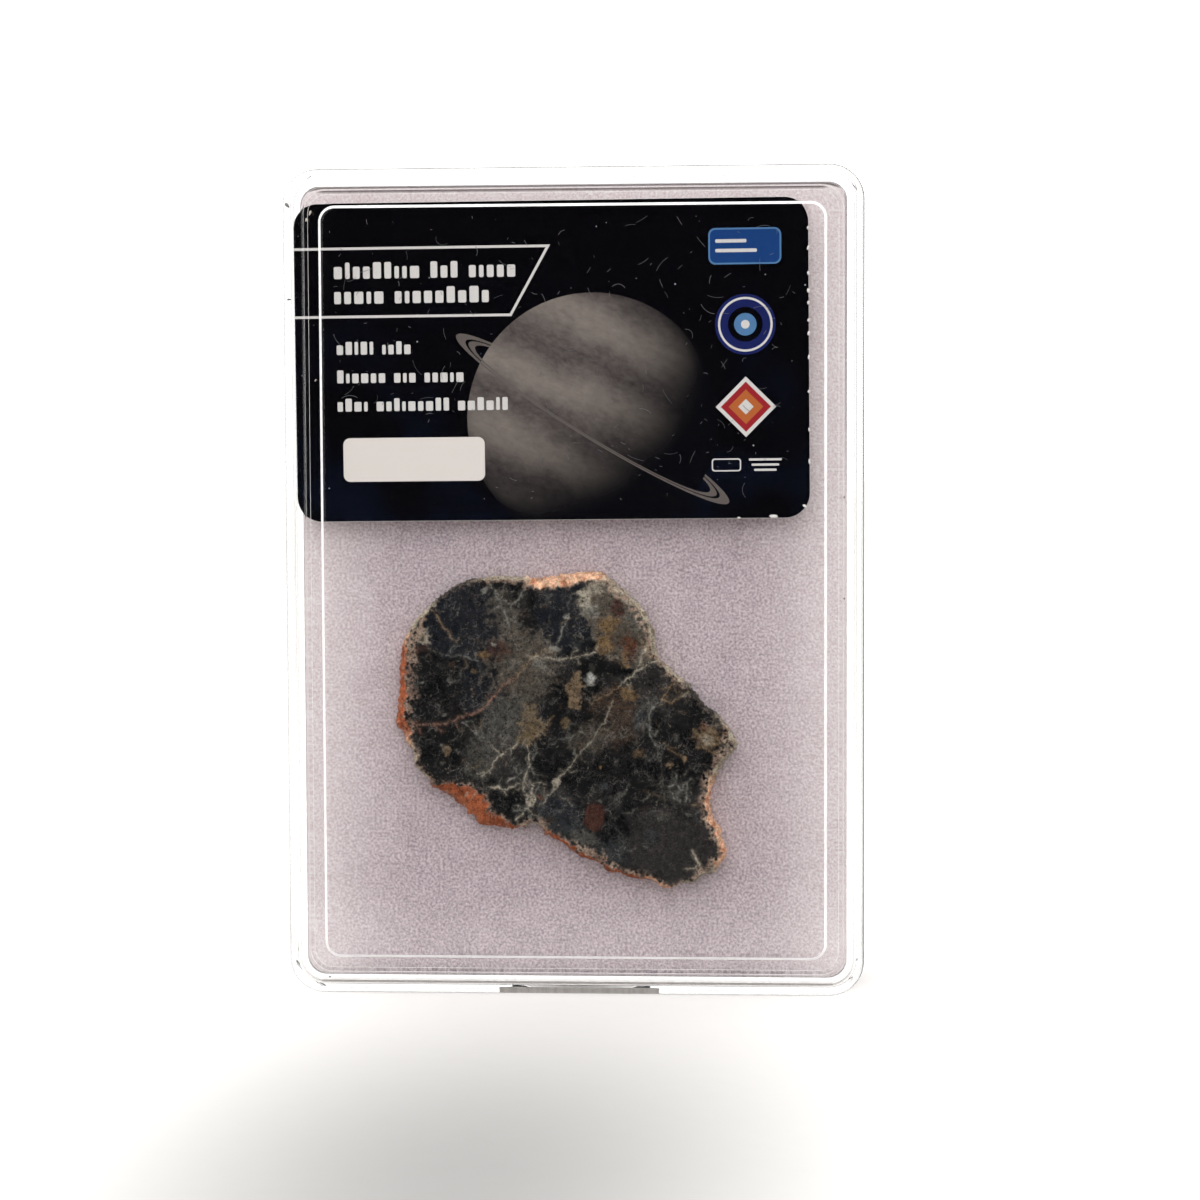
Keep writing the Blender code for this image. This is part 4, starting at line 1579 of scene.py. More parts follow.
    VEINS = (
        Vein(Tone.TAN, 0.16, 0.75, ((-15.5, 14.2), (-14.3, 12.2), (-12.8, 10.4))),
        Vein(Tone.UMBER, 0.3, 0.9, (
            (-18.9, 0.6), (-18.1, 0.7), (-15.9, 0.7), (-14.3, 0.8), (-12.6, 1.4), (-11.6, 1.8),
            (-10.6, 2.2), (-9.8, 2.5), (-9.1, 3.4), (-7.9, 4.6), (-6.8, 5.7), (-5.9, 6.2),
        )),
        Vein(Tone.TAN, 0.24, 0.7, ((-5.9, 6.2), (-5.2, 6.8), (-4.1, 8.7), (-3.2, 8.9), (-2.2, 9.7))),
        Vein(Tone.PALE_GREY, 0.16, 0.5, ((-14.0, 8.8), (-12.5, 8.8), (-11.3, 8.6), (-10.3, 8.3))),
        Vein(Tone.CREAM, 0.18, 0.8, (
            (-4.5, 8.8), (-2.6, 8.6), (-0.8, 8.4), (0.7, 8.6), (1.7, 8.7), (2.8, 9.0), (3.7, 9.2),
        )),
        Vein(Tone.PALE_GREY, 0.2, 0.8, ((0.3, 13.4), (-0.2, 12.2), (-0.7, 10.9), (-1.1, 9.9))),
        Vein(Tone.PALE_GREY, 0.2, 0.65, ((-8.7, 17.0), (-7.8, 15.5), (-7.2, 14.3), (-6.8, 13.3), (-6.6, 12.2))),
        Vein(Tone.PALE_GREY, 0.2, 0.7, (
            (-7.8, 15.5), (-6.8, 15.1), (-5.9, 14.8), (-5.4, 15.7), (-5.1, 16.1), (-4.3, 16.7),
            (-4.0, 17.2), (-5.2, 17.8),
        )),
        Vein(Tone.PALE_GREY, 0.2, 0.6, ((-12.2, 1.1), (-11.3, 0.2), (-10.4, -0.5))),
        Vein(Tone.TAN, 0.2, 0.7, ((-1.4, 1.8), (-2.4, 0.7), (-3.5, -0.6), (-4.3, -1.6))),
        Vein(Tone.CREAM, 0.16, 0.7, (
            (-4.5, -1.8), (-4.5, -3.3), (-4.3, -4.3), (-4.8, -5.4), (-5.1, -6.3), (-4.8, -7.5),
            (-4.5, -8.1), (-4.0, -8.7),
        )),
        Vein(Tone.PALE_GREY, 0.16, 0.6, ((-3.4, -2.2), (-4.0, -3.4), (-4.5, -3.9))),
        Vein(Tone.CREAM, 0.17, 0.8, (
            (-5.7, -1.6), (-6.9, -2.4), (-7.9, -3.0), (-8.5, -3.9), (-9.1, -4.8), (-10.0, -5.4),
        )),
        Vein(Tone.PALE_GREY, 0.2, 0.8, ((-4.8, -4.6), (-6.0, -5.4), (-6.6, -5.8), (-7.0, -6.1))),
        Vein(Tone.CREAM, 0.22, 0.8, ((-9.4, -6.6), (-8.1, -6.7), (-6.9, -6.9), (-6.0, -6.6))),
        Vein(Tone.CREAM, 0.18, 0.8, ((-4.0, -8.4), (-4.7, -9.1), (-5.4, -9.9), (-5.9, -10.5))),
        Vein(Tone.PALE_GREY, 0.18, 0.7, ((-4.0, -8.9), (-4.8, -9.3), (-6.3, -9.4))),
        Vein(Tone.CREAM, 0.12, 0.52, (
            (-3.5, -8.9), (-3.1, -8.7), (-2.2, -7.8), (-1.3, -6.9), (-0.9, -6.3), (-0.9, -5.5),
            (0.2, -4.6), (1.2, -3.2), (2.0, -2.2), (2.9, -1.4), (3.6, -0.2), (4.5, 1.2),
            (5.2, 2.2), (5.5, 3.6),
        )),
        Vein(Tone.CREAM, 0.2, 0.8, (
            (11.2, 8.1), (10.1, 8.1), (9.2, 7.5), (8.3, 6.9), (7.1, 6.0), (6.2, 5.1),
        )),
        Vein(Tone.TAN, 0.22, 0.55, ((6.2, 5.1), (4.7, 4.3), (3.8, 3.8), (2.9, 3.0))),
        Vein(Tone.CREAM, 0.18, 0.7, ((-4.2, -5.8), (-3.9, -6.5), (-4.1, -7.3), (-4.0, -8.3))),
        Vein(Tone.PALE_GREY, 0.14, 0.6, ((-3.3, -6.7), (-3.6, -7.5))),
        Vein(Tone.PALE_GREY, 0.16, 0.5, ((-0.6, -7.6), (0.8, -8.8))),
        Vein(Tone.PALE_GREY, 0.16, 0.55, ((-4.5, -4.0), (-3.6, -5.2), (-2.5, -5.2))),
        Vein(Tone.CREAM, 0.24, 0.75, ((10.1, 11.6), (9.8, 11.0), (9.4, 9.8), (8.9, 8.6), (8.6, 7.6))),
        Vein(Tone.TAN, 0.18, 0.8, (
            (13.4, 6.1), (12.6, 5.4), (11.7, 4.5), (11.3, 3.7), (12.3, 3.3), (12.9, 3.7),
            (13.7, 4.2), (14.4, 4.6),
        )),
        Vein(Tone.PALE_GREY, 0.18, 0.6, (
            (11.3, 3.6), (10.4, 3.0), (9.8, 2.1), (9.8, 0.6), (10.1, -0.9), (10.7, -2.1),
            (10.7, -2.9),
        )),
        Vein(Tone.TAN, 0.14, 0.55, ((11.6, -1.4), (12.3, -2.2), (13.2, -2.8), (13.9, -3.4))),
        Vein(Tone.GREY, 0.12, 0.6, ((11.1, -1.7), (11.2, -4.7), (11.5, -7.1), (11.6, -8.9))),
        Vein(Tone.GREY, 0.14, 0.6, ((14.5, -4.0), (13.9, -5.3), (13.6, -5.8))),
        Vein(Tone.PALE_GREY, 0.18, 0.55, ((11.7, -6.6), (12.8, -6.3), (13.4, -6.8), (14.2, -6.0))),
        Vein(Tone.PALE_GREY, 0.2, 0.6, ((14.2, -6.0), (14.2, -7.7), (13.9, -8.3))),
        Vein(Tone.PALE_GREY, 0.16, 0.5, ((12.3, -7.1), (12.8, -8.0))),
        Vein(Tone.TAN, 0.2, 0.7, ((14.8, -8.5), (15.7, -8.9), (16.3, -9.2))),
        Vein(Tone.CREAM, 0.3, 0.85, ((14.7, -14.0), (15.1, -14.8), (15.4, -15.3), (15.5, -15.9))),
        Vein(Tone.GREY, 0.14, 0.6, ((7.4, -6.4), (6.5, -7.6), (5.6, -8.3))),
        Vein(Tone.GREY, 0.14, 0.6, ((2.7, -8.3), (3.0, -7.1), (3.5, -6.2))),
    )

    SKIN_TONES = {
        Skin.TERRACOTTA: (Tone.TERRACOTTA, Tone.CLAY),
        Skin.ORANGE: (Tone.SALMON, Tone.TERRACOTTA),
        Skin.PALE: (Tone.CREAM, Tone.OCHRE),
        Skin.DARK: (Tone.CHARCOAL, Tone.BLACK),
    }

    def fine_outline(self) -> tuple[np.ndarray, np.ndarray, np.ndarray]:
        """The outline smoothed and stepped evenly.

        Returns:
            Rows of x and z, rows of slope and rim width, and the index of the nearest listed point.
        """
        listed = np.array([row[:4] for row in self.OUTLINE])
        before, after = np.roll(listed, 1, axis=0), np.roll(listed, -1, axis=0)
        beyond = np.roll(listed, -2, axis=0)
        rows, owners = [], []
        for index in range(len(listed)):
            a, b, c, d = before[index], listed[index], after[index], beyond[index]
            steps = max(2, round(float(np.hypot(*(c[:2] - b[:2]))) / self.edge_spacing))
            for step in range(steps):
                t = step / steps
                curve = 2 * b + (c - a) * t + (2 * a - 5 * b + 4 * c - d) * t**2 + (3 * b - a - 3 * c + d) * t**3
                rows.append(curve / 2)
                owners.append(index if t < 0.5 else (index + 1) % len(listed))
        rows = np.array(rows)
        return rows[:, :2], np.clip(rows[:, 2:], 0.03, None), np.array(owners)

    def inward(self, outline: np.ndarray) -> np.ndarray:
        """The step into the stone at each point of the fine outline."""
        reach = 4
        along = np.roll(outline, -reach, axis=0) - np.roll(outline, reach, axis=0)
        along /= np.hypot(*along.T)[:, None]
        return np.column_stack((along[:, 1], -along[:, 0]))

    def edge_rings(self) -> tuple[list[np.ndarray], np.ndarray, np.ndarray]:
        """The rough edge from the sawn face's border to the back, and what each column is made of.

        Returns:
            The rings as rows of x, depth and z; the rim widths; and the listed point of each column.
        """
        outline, sizes, owners = self.fine_outline()
        inward = self.inward(outline)
        count = len(outline)
        rings = []
        sections = ((0.0, 1.0), (0.05, 0.86), (0.16, 0.6), (0.30, 0.33), (0.46, 0.1), (0.62, 0.0), (0.8, 0.06),
                    (0.93, 0.16), (1.0, 0.35))
        for number, (share, slope) in enumerate(sections):
            seats = outline * 1.0 + share * 3.1
            sawn = soft_noise(outline, 0.9, 41, 3) * 0.34 + soft_noise(outline, 0.45, 43, 2) * 0.26
            rough = soft_noise(seats, 1.2, 31, 3) * 0.38 + soft_noise(seats, 0.42, 37, 2) * 0.2
            worn = min(1.0, share * 3)
            lumps = sawn * (1 - worn) + rough * worn
            flat = outline + inward * (sizes[:, :1] * slope + 0.08 - lumps[:, None] * 0.8)
            depth = self.depth + self.thick * share
            if number:
                depth = depth + soft_noise(seats, 0.7, 51, 2) * 0.06 * min(1.0, share * 6) * (share < 1)
            rings.append(np.column_stack((flat[:, 0], np.zeros(count) + depth, flat[:, 1])))
        return rings, sizes[:, 1], owners

    def meander(self, route: Sequence[Point], seed: int) -> np.ndarray:
        """A vein's route as closely spaced points that wander a little."""
        rows = []
        for (x0, z0), (x1, z1) in zip(route, route[1:]):
            steps = max(1, round(math.hypot(x1 - x0, z1 - z0) / 0.06))
            for step in range(steps):
                rows.append((x0 + (x1 - x0) * step / steps, z0 + (z1 - z0) * step / steps))
        rows.append(route[-1])
        path = np.array(rows)
        sway = np.column_stack((soft_noise(path, 0.8, seed, 3), soft_noise(path, 0.8, seed + 1, 3)))
        return path + sway * 0.2

    def twigs(self) -> list[Vein]:
        """Fine side branches off the listed veins."""
        draw = random.Random(31)
        found = []
        for vein in self.VEINS:
            for (x0, z0), (x1, z1) in zip(vein.route, vein.route[1:]):
                heading = math.atan2(z1 - z0, x1 - x0)
                for _ in range(round(math.hypot(x1 - x0, z1 - z0) * draw.uniform(0.2, 1.1))):
                    share = draw.random()
                    x, z = x0 + (x1 - x0) * share, z0 + (z1 - z0) * share
                    turned = heading + draw.choice((-1, 1)) * draw.uniform(0.4, 1.4)
                    route = [(x, z)]
                    for _ in range(draw.randint(1, 5)):
                        x += math.cos(turned) * 0.35
                        z += math.sin(turned) * 0.35
                        turned += draw.gauss(0, 0.4)
                        route.append((x, z))
                    found.append(Vein(vein.tone, vein.width * 0.6, vein.strength * 0.75, tuple(route)))
        return found

    def stray_cracks(self) -> list[Vein]:
        """Short faint cracks that start from the busy parts of the stone."""
        draw = random.Random(7)
        homes = ((-5.5, -4.0, 4.0), (2.5, -1.0, 3.0), (9.5, 0.0, 4.5), (-6.0, 8.0, 4.5), (-12.0, 9.0, 5.0),
                 (12.5, -6.0, 3.5), (5.0, 10.0, 4.0), (-9.0, 0.0, 4.0), (0.0, 12.0, 3.5), (8.0, -12.0, 5.0))
        cracks = []
        for number in range(85):
            x, z, spread = homes[number % len(homes)]
            x, z = draw.gauss(x, spread * 0.5), draw.gauss(z, spread * 0.5)
            heading = draw.uniform(0, 2 * math.pi)
            route = [(x, z)]
            for _ in range(draw.randint(2, 6)):
                heading += draw.gauss(0, 0.55)
                x += math.cos(heading) * 0.45
                z += math.sin(heading) * 0.45
                route.append((x, z))
            tone = draw.choice((Tone.PALE_GREY, Tone.GREY, Tone.PALE_GREY, Tone.TAN))
            cracks.append(Vein(tone, draw.uniform(0.06, 0.14), draw.uniform(0.25, 0.6), tuple(route)))
        return cracks

    def stray_grains(self) -> list[Spot]:
        """Small broken bits scattered over the face."""
        draw = random.Random(19)
        tones = (Tone.GREY, Tone.PALE_GREY, Tone.BLACK, Tone.WARM_GREY, Tone.SLATE, Tone.BLACK, Tone.BROWN, Tone.GREY)
        grains = []
        for _ in range(480):
            size = 0.12 + 0.4 * draw.random() ** 2.2
            x, z = draw.uniform(-19.5, 19.5), draw.uniform(-18.0, 18.0)
            stretch, turn = draw.uniform(0.55, 1.0), draw.uniform(0, math.pi)
            grains.append(Spot(draw.choice(tones), x, z, size, size * stretch, turn, 0.12, draw.uniform(0.2, 0.65)))
        return grains

    def reach_into(self, piece: Spot | Patch, flat: np.ndarray) -> np.ndarray:
        """How far each point lies outside a piece, negative inside."""
        if isinstance(piece, Patch):
            return distance_to_outline(flat, np.array(piece.outline))
        cos, sin = math.cos(piece.turn), math.sin(piece.turn)
        x, z = flat[:, 0] - piece.x, flat[:, 1] - piece.z
        across, along = x * cos + z * sin, z * cos - x * sin
        round_off = np.hypot(across / piece.half_x, along / piece.half_z) - 1
        return round_off * min(piece.half_x, piece.half_z)

    def paint_face(self, flat: np.ndarray, rim: np.ndarray, veins: Sequence[Vein], paths: Sequence[np.ndarray],
                   border: np.ndarray) -> tuple[np.ndarray, np.ndarray, np.ndarray]:
        """Paints the sawn face.

        Args:
            flat: The points to paint.
            rim: The crumbly rim's width at each border point.
            veins: The veins.
            paths: Their wandering routes.
            border: The sawn face's border.

        Returns:
            Colours, how busy the fine web is, and how crumbly the surface is, for each point.
        """
        ragged = soft_noise(flat, 1.1, 61, 4)
        fine = soft_noise(flat, 0.45, 67, 3)
        drift = np.column_stack((soft_noise(flat, 0.7, 113, 3), soft_noise(flat, 0.7, 127, 3)))
        broad = smooth_step(soft_noise(flat, 4.5, 71, 3), -0.5, 0.6)
        colours = self.blend(Tone.BLACK.value, Tone.CHARCOAL.value, broad[:, None])
        busy = 0.45 + 0.55 * smooth_step(soft_noise(flat, 3.2, 73, 2), -0.4, 0.4)
        patchy = 0.7 + 0.3 * smooth_step(soft_noise(flat, 0.55, 131, 3), -0.35, 0.25)
        for piece in (*self.GROUNDS, *self.stray_grains(), *self.PIECES):
            calm = isinstance(piece, Patch) and piece.smooth
            away = self.reach_into(piece, flat + drift * (0.1 if calm else 0.24))
            wobble = ragged * piece.soft * (0.5 if calm else 1.0) + fine * piece.soft * 0.6
            cover = smooth_step(away + wobble, piece.soft * 0.6, -piece.soft * 0.6) * piece.strength
            cover = cover if calm else cover * patchy
            colours = self.blend(colours, piece.tone.value, cover[:, None])
            if calm:
                busy *= 1 - 0.8 * cover
        samples = np.vstack(paths)
        owner = np.concatenate([np.full(len(path), index) for index, path in enumerate(paths)])
        ends = np.concatenate([np.sin(np.linspace(0.12, math.pi - 0.12, len(path))) ** 0.5 for path in paths])
        hit, away = nearest_of(flat, samples)
        half = np.array([vein.width for vein in veins])[owner[hit]] / 2 * ends[hit]
        half *= 0.8 + 0.6 * soft_noise(flat, 0.5, 79, 2)
        broken = 0.45 + 0.55 * smooth_step(soft_noise(flat, 0.7, 137, 3), -0.5, 0.15)
        cover = smooth_step(away - half, 0.06, -0.05) + 0.22 * smooth_step(away - half, 0.35, 0.0)
        cover = np.clip(cover, 0, 1) * broken * np.array([vein.strength for vein in veins])[owner[hit]]
        tones = np.array([vein.tone.value for vein in veins])[owner[hit]]
        colours = self.blend(colours, tones, cover[:, None])
        column, inside = nearest_of(flat, border)
        grain, own = granules(flat, 0.3, 83)
        band = smooth_step(inside + ragged * 0.35 - rim[column] * 1.4 + 0.1, 0.3, -0.3)
        band *= smooth_step(own + 0.25 * fine, 0.26, 0.42) * (0.45 + 0.55 * grain)
        warm = soft_noise(flat, 1.6, 89, 2)[:, None] * 0.5 + 0.45
        rim_tone = self.blend(Tone.CRUMB.value, Tone.UMBER.value, np.clip(warm, 0, 1))
        colours = self.blend(colours, rim_tone, band[:, None] * 0.95)
        crumbly = np.clip(band + 0.25 * (busy - 0.5), 0, 1)
        return colours, busy, crumbly

    def paint_edge(self, seats: np.ndarray, owners: np.ndarray, step: float) -> np.ndarray:
        """Colours for one ring of the rough edge.

        Args:
            seats: Where each point is, in the plane.
            owners: The listed outline point of each.
            step: How far along the edge's section the ring is, from 0 to 1.

        Returns:
            Colours.
        """
        skins = [Skin(self.OUTLINE[owner][4]) for owner in owners]
        main = np.array([self.SKIN_TONES[skin][0].value for skin in skins])
        second = np.array([self.SKIN_TONES[skin][1].value for skin in skins])
        span = 5
        kernel = np.ones(2 * span + 1) / (2 * span + 1)
        for tones in (main, second):
            for channel in range(3):
                padded = np.concatenate((tones[-span:, channel], tones[:, channel], tones[:span, channel]))
                tones[:, channel] = np.convolve(padded, kernel, "valid")
        shifted = seats + step * 5.0
        mottle = smooth_step(soft_noise(shifted, 0.8, 97, 3), -0.1, 0.5)
        grain, own = granules(shifted, 0.32, 101)
        colours = self.blend(main, second, (mottle * 0.7)[:, None])
        pale = smooth_step(own, 0.78, 0.93) * grain * 0.6
        pale = np.clip(pale + 0.12 * smooth_step(np.full(len(seats), step), 0.3, 0.6), 0, 1)
        return self.blend(colours, Tone.CREAM.value, pale[:, None])

    @staticmethod
    def blend(under: Any, over: Any, cover: np.ndarray) -> np.ndarray:
        """Lays one colour over another."""
        return np.asarray(under) * (1 - cover) + np.asarray(over) * cover

    def build(self) -> bpy.types.Object:
        """Builds and paints the slice."""
        rings, rim, owners = self.edge_rings()
        border = rings[0][:, (0, 2)]
        veins = [*self.VEINS, *self.twigs(), *self.stray_cracks()]
        paths = [self.meander(vein.route, 200 + 3 * index) for index, vein in enumerate(veins)]
        kept = np.vstack([path[::2] for path in paths[: len(self.VEINS)]])
        flat, faces = fill_outline(border[::-1], self.spacing, kept)
        inside = nearest_of(flat, border)[1]
        colours, busy, crumbly = self.paint_face(flat, rim, veins, paths, border)
        grain, own = granules(flat, 0.3, 83)
        chips = crumbly * (0.05 + 0.09 * own) * smooth_step(inside, 0.9, 0.05)
        chips += smooth_step(soft_noise(flat, 0.6, 107, 2), 0.62, 0.85) * busy * 0.05
        front = np.column_stack((flat[:, 0], self.depth + chips, flat[:, 1]))
        count = len(border)
        order = np.arange(count)[::-1]
        faces = [face if FoamSheet.faces_back(flat, face) is False else list(reversed(face)) for face in faces]
        points, tones = [front], [colours]
        webs, crumbs = [busy], [crumbly]
        starts = [0]
        for number, ring in enumerate(rings[1:], 1):
            starts.append(sum(len(block) for block in points))
            points.append(ring[order])
            tones.append(self.paint_edge(ring[order][:, (0, 2)], owners[order], number / (len(rings) - 1)))
            webs.append(np.zeros(count))
            crumbs.append(np.ones(count))
        for start, following in zip(starts, starts[1:]):
            for index in range(count):
                after = (index + 1) % count
                faces.append([start + index, following + index, following + after, start + after])
        faces.append(list(reversed(range(starts[-1], starts[-1] + count))))
        tones[0][:count] = self.blend(tones[0][:count], tones[1], np.full((count, 1), 0.6))
        placed = np.vstack(points)
        placed += (self.middle[0], -self.case.depth / 2, self.middle[1])
        mesh = make_mesh("stone_slice", placed, faces)
        self.paint_layers(mesh, np.vstack(tones), np.concatenate(webs), np.concatenate(crumbs))
        make_sound(mesh)
        made = make_object("stone_slice", mesh, (self.finish.material(),))
        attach(made, BODY)
        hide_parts("meteorite_slice")
        return made

    @staticmethod
    def paint_layers(mesh: bpy.types.Mesh, colours: np.ndarray, webs: np.ndarray, crumbs: np.ndarray) -> None:
        """Stores the painted layers on the mesh's points."""
        paint = mesh.color_attributes.new("paint", "FLOAT_COLOR", "POINT")
        paint.data.foreach_set("color", np.column_stack((colours, np.ones(len(colours)))).ravel())
        for name, layer in (("web", webs), ("crumbly", crumbs)):
            mesh.attributes.new(name, "FLOAT", "POINT").data.foreach_set("value", layer)


@dataclass
class Dust:
    """Hairs behind the lid, over the black card, and a few flecks on the lid."""

    case: DisplayCase
    hair_depth: float = 1.74
    hair_count: int = 230
    hair_radius: float = 0.024

    def hairs(self) -> bpy.types.Object:
        """Curved hairs and short scratches over the card."""
        draw = random.Random(23)
        blocks, faces, total = [], [], 0
        for _ in range(self.hair_count):
            x, z = draw.uniform(-30.0, 25.5), draw.uniform(57.5, 91.0)
            length = 0.25 + 1.9 * draw.random() ** 3
            heading, curl = draw.uniform(0, 2 * math.pi), draw.gauss(0, 0.9)
            steps = 8
            route = []
            for step in range(steps + 1):
                route.append((x, self.hair_depth - self.case.depth / 2, z))
                heading += curl / steps
                x += math.cos(heading) * length / steps
                z += math.sin(heading) * length / steps
            on_panel = min(x, route[0][0]) < -9.5 and min(z, route[0][2]) < 67.0
            off_card = min(x, route[0][0]) < -31.0 or max(x, route[0][0]) > 27.0
            if on_panel or off_card:
                continue
            radius = self.hair_radius * draw.uniform(0.5, 1.2)
            points, rows = tube(np.array(route), radius, total)
            blocks.append(points)
            faces += rows
            total += len(points)
        mesh = make_mesh("hairs", np.vstack(blocks), faces)
        return make_object("hairs", mesh, (Lint("grey_hair", linear(104, 106, 110)).material(),))

    def fleck(self, x: float, depth: float, z: float, width: float, height: float, turn: float, seed: int) -> bmesh.types.BMesh:
        """One lumpy flattened grain."""
        bm = bmesh.new()
        bmesh.ops.create_icosphere(bm, subdivisions=2, radius=1.0)
        draw = random.Random(seed)
        for vert in bm.verts:
            vert.co *= draw.uniform(0.75, 1.1)
        scale = Matrix.Diagonal((width / 2 * MM, 0.05 * MM, height / 2 * MM, 1.0))
        seat = Matrix.Translation(Vector((x, depth - self.case.depth / 2, z)) * MM)
        bm.transform(seat @ Matrix.Rotation(turn, 4, "Y") @ scale)
        return bm

    def flecks(self, name: str, rows: Sequence[tuple], finish: Lint) -> bpy.types.Object:
        """Joins the flecks of one colour."""
        mesh = bpy.data.meshes.new(name)
        whole = bmesh.new()
        for number, row in enumerate(rows):
            part = self.fleck(*row, seed=number)
            piece = bpy.data.meshes.new("fleck")
            part.to_mesh(piece)
            part.free()
            whole.from_mesh(piece)
            bpy.data.meshes.remove(piece)
        whole.to_mesh(mesh)
        whole.free()
        mesh.shade_smooth()
        return make_object(name, mesh, (finish.material(),))

    def card_edge(self) -> bpy.types.Object:
        """The pale lower edge of the card, which shows as a thin uneven line."""
        x = np.linspace(-29.2, 24.2, 120)
        sway = soft_noise(np.column_stack((x, x * 0)), 3.0, 151, 3) * 0.02
        route = np.column_stack((x, np.full(len(x), 1.98 - self.case.depth / 2), 55.66 + (x + 2.55) * 0.006 + sway))
        points, faces = tube(route, 0.035, 0)
        return make_object("card_edge", make_mesh("card_edge", points, faces), (PaperEdge().material(),))

    def tabs(self) -> list[tuple]:
        """Where the card was torn from its sheet: small white tabs at its right edge and nicks below."""
        draw = random.Random(41)
        rows = []
        for z in (89.2, 86.9, 84.0, 82.0, 80.6, 78.6, 77.1, 74.4, 70.4, 66.0, 62.3):
            x = 27.34 - (z - 74.15) * 0.006
            rows.append((x, 1.86, z, draw.uniform(0.24, 0.36), draw.uniform(0.35, 0.7), draw.gauss(0, 0.12)))
        rows += [(23.3, 1.86, 56.0, 1.15, 0.42, 0.1), (19.26, 1.86, 55.85, 0.4, 0.26, 0.0)]
        rows.append((26.85, 1.86, 57.2, 0.5, 0.36, 0.7))
        return rows

    def build(self) -> list[bpy.types.Object]:
        """Builds the hairs and flecks."""
        rim = self.case.rim_depth
        pale = (
            (-30.35, 0.28, 91.35, 0.28, 0.62, 0.35),
            (-30.8, 0.28, 90.55, 0.24, 0.5, 0.1),
            (-29.9, 0.28, 72.0, 0.16, 0.3, 0.6),
        )
        grey = (
            (-33.1, rim + 0.3, 92.3, 0.35, 0.7, -0.8),
            (-33.0, rim + 0.3, 81.4, 0.5, 0.22, 0.1),
            (-28.9, 0.12, 2.0, 0.28, 0.22, 0.0),
            (31.4, 0.55, 58.2, 0.18, 0.3, 0.0),
            (31.4, 0.55, 46.5, 0.2, 0.26, 0.4),
        )
        pieces = [
            self.hairs(),
            self.card_edge(),
            self.flecks("card_tabs", self.tabs(), Lint("torn_paper", linear(246, 242, 238))),
            self.flecks("pale_flecks", pale, Lint("pale_dust", linear(196, 186, 172))),
            self.flecks("grey_flecks", grey, Lint("grey_dust", linear(120, 116, 114))),
        ]
        for piece in pieces:
            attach(piece, BODY)
        return pieces


# The studio


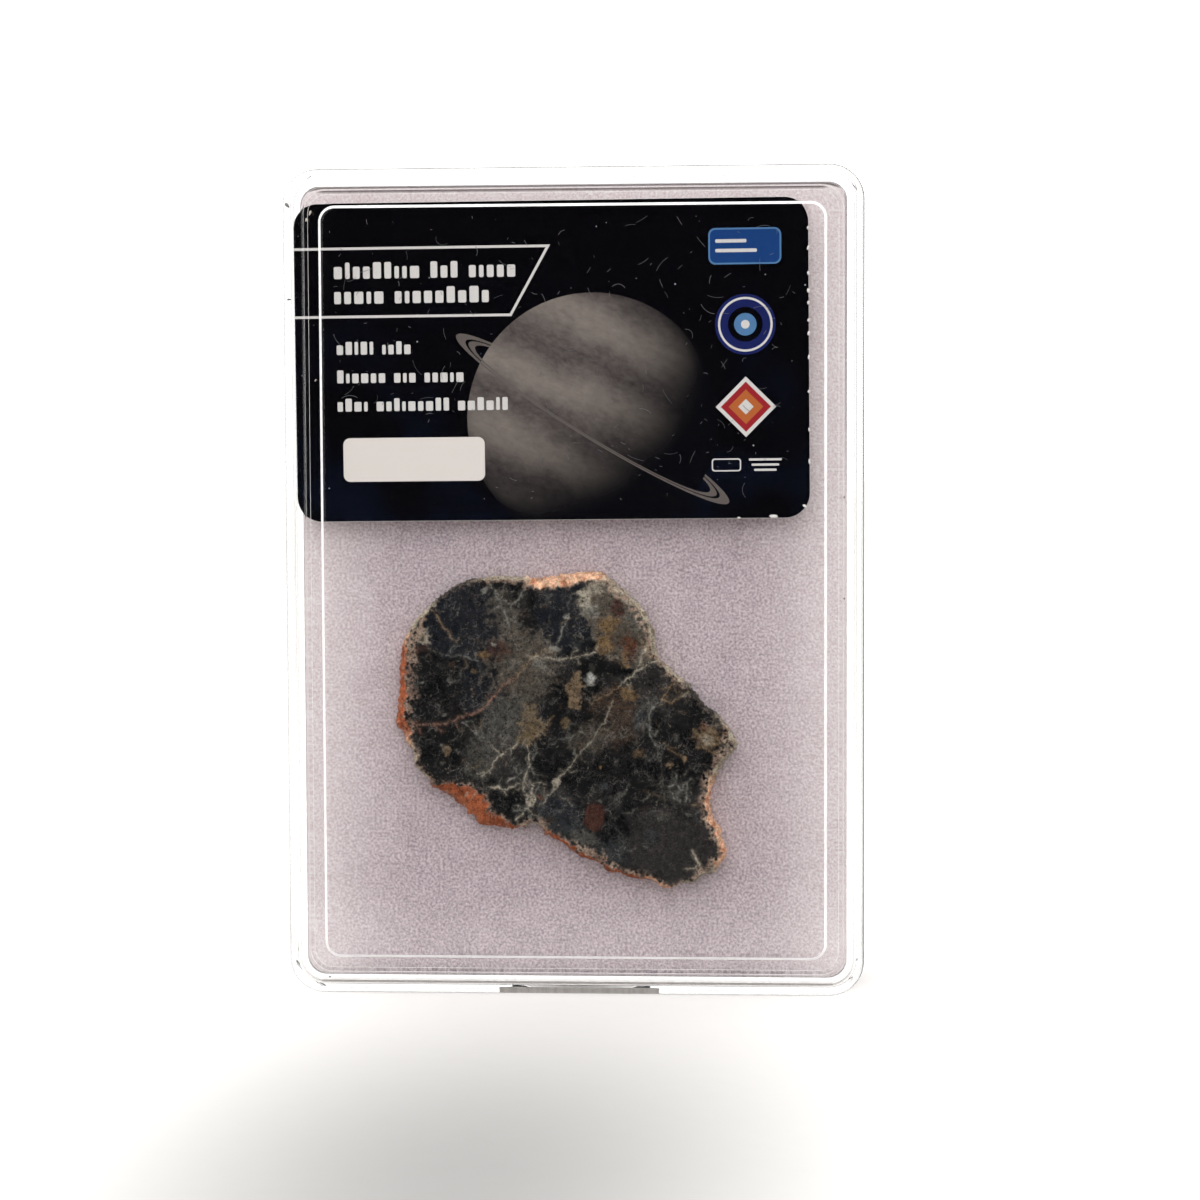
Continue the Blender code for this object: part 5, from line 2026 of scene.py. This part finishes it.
@dataclass
class Studio:
    """The camera at the photograph's place, a white floor and soft light."""

    camera_place: tuple[float, float, float] = (22.8, -322.1, 64.2)
    yaw: float = 3.60
    pitch: float = 3.26
    roll: float = -0.25
    focal_pixels: float = 2700.0
    frame_pixels: float = 1200.0
    sensor: float = 36.0
    floor_size: float = 6.0
    floor_front: float = -1.5

    def camera(self) -> bpy.types.Object:
        """The camera, from its yaw, pitch and roll in degrees."""
        data = bpy.data.cameras.new("camera")
        data.sensor_width = self.sensor
        data.lens = self.sensor * self.focal_pixels / self.frame_pixels
        data.clip_start = 0.01
        made = bpy.data.objects.new("camera", data)
        bpy.context.scene.collection.objects.link(made)
        turned = Matrix.Rotation(math.radians(self.yaw), 3, "Z") @ Matrix.Rotation(-math.radians(self.pitch), 3, "X")
        roll = math.radians(self.roll)
        flat_right, flat_up = turned @ Vector((1, 0, 0)), turned @ Vector((0, 0, 1))
        right = flat_right * math.cos(roll) + flat_up * math.sin(roll)
        up = flat_up * math.cos(roll) - flat_right * math.sin(roll)
        ahead = turned @ Vector((0, 1, 0))
        made.matrix_world = Matrix((
            (right.x, up.x, -ahead.x, self.camera_place[0] * MM),
            (right.y, up.y, -ahead.y, self.camera_place[1] * MM),
            (right.z, up.z, -ahead.z, self.camera_place[2] * MM),
            (0, 0, 0, 1),
        ))
        bpy.context.scene.camera = made
        return made

    def floor(self) -> bpy.types.Object:
        """The paper floor, level with the case's foot."""
        bm = bmesh.new()
        bmesh.ops.create_grid(bm, x_segments=8, y_segments=8, size=self.floor_size / 2)
        mesh = bpy.data.meshes.new("floor")
        bm.to_mesh(mesh)
        bm.free()
        made = make_object("floor", mesh, (StudioFloor().material(),))
        made.location = (0.0, self.floor_front + self.floor_size / 2, -0.00002)
        return made

    def softbox(self, name: str, place: Sequence[float], size: float, radiance: float) -> bpy.types.Object:
        """A square soft light that faces the case.

        Args:
            name: Its name.
            place: Where it is, in metres.
            size: Its side, in metres.
            radiance: How bright its face is.

        Returns:
            The light.
        """
        data = bpy.data.lights.new(name, "AREA")
        data.shape = "SQUARE"
        data.size = size
        data.energy = radiance * math.pi * size * size
        made = bpy.data.objects.new(name, data)
        bpy.context.scene.collection.objects.link(made)
        made.location = place
        made.rotation_euler = (Vector((0, 0, 0.04)) - Vector(place)).to_track_quat("-Z", "Y").to_euler()
        return made

    def surroundings(self) -> None:
        """A white room. Only what is mirrored sees the dark opening behind the camera."""
        world = bpy.data.worlds.new("white_room")
        bpy.context.scene.world = world
        world.use_nodes = True
        g = Graph(world.node_tree)
        heading = g.value("ShaderNodeTexCoord", {}, {}, "Generated")
        _, ahead, up = g.split(heading)
        seen, mirrored = g.rays()
        room = 1.03 + up.rise(0.0, 0.7) * 0.6
        strength = (room + mirrored * 0.35) * (1.0 - ahead.rise(-0.80, -0.94) * mirrored) + seen * 1.5
        shader = g.node("ShaderNodeBackground", {}, {"Color": (1.0, 1.0, 1.0), "Strength": strength}).outputs[0]
        g.node("ShaderNodeOutputWorld", {}, {"Surface": shader})

    def build(self) -> None:
        """Sets up the studio."""
        self.camera()
        self.floor()
        self.surroundings()
        self.softbox("top_light", (-0.15, -0.2, 0.7), 0.5, 1.2)
        scene = bpy.context.scene
        scene.view_settings.view_transform = "Standard"
        scene.view_settings.look = "None"
        scene.cycles.max_bounces = 14
        scene.cycles.diffuse_bounces = 3
        scene.cycles.glossy_bounces = 6
        scene.cycles.transmission_bounces = 14
        scene.cycles.transparent_max_bounces = 12
        scene.cycles.caustics_reflective = False
        scene.cycles.caustics_refractive = False


def write_sizes() -> None:
    """Updates the view layer."""
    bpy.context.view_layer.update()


def report(piece: bpy.types.Object) -> None:
    """Logs a finished piece."""
    triangles = sum(len(face.vertices) - 2 for face in piece.data.polygons)
    log.info("%s: %d triangles", piece.name, triangles)


def main() -> None:
    """Builds the studio and dresses the part, piece by piece."""
    logging.basicConfig(level=logging.INFO, format="%(message)s")
    Studio().build()
    case = DisplayCase()
    pieces = [*case.build(), FoamSheet(case).build(), LabelCard(case).build(), StoneSlice(case).build()]
    pieces += Dust(case).build()
    for piece in pieces:
        report(piece)
    write_sizes()


if __name__ == "__main__":
    main()
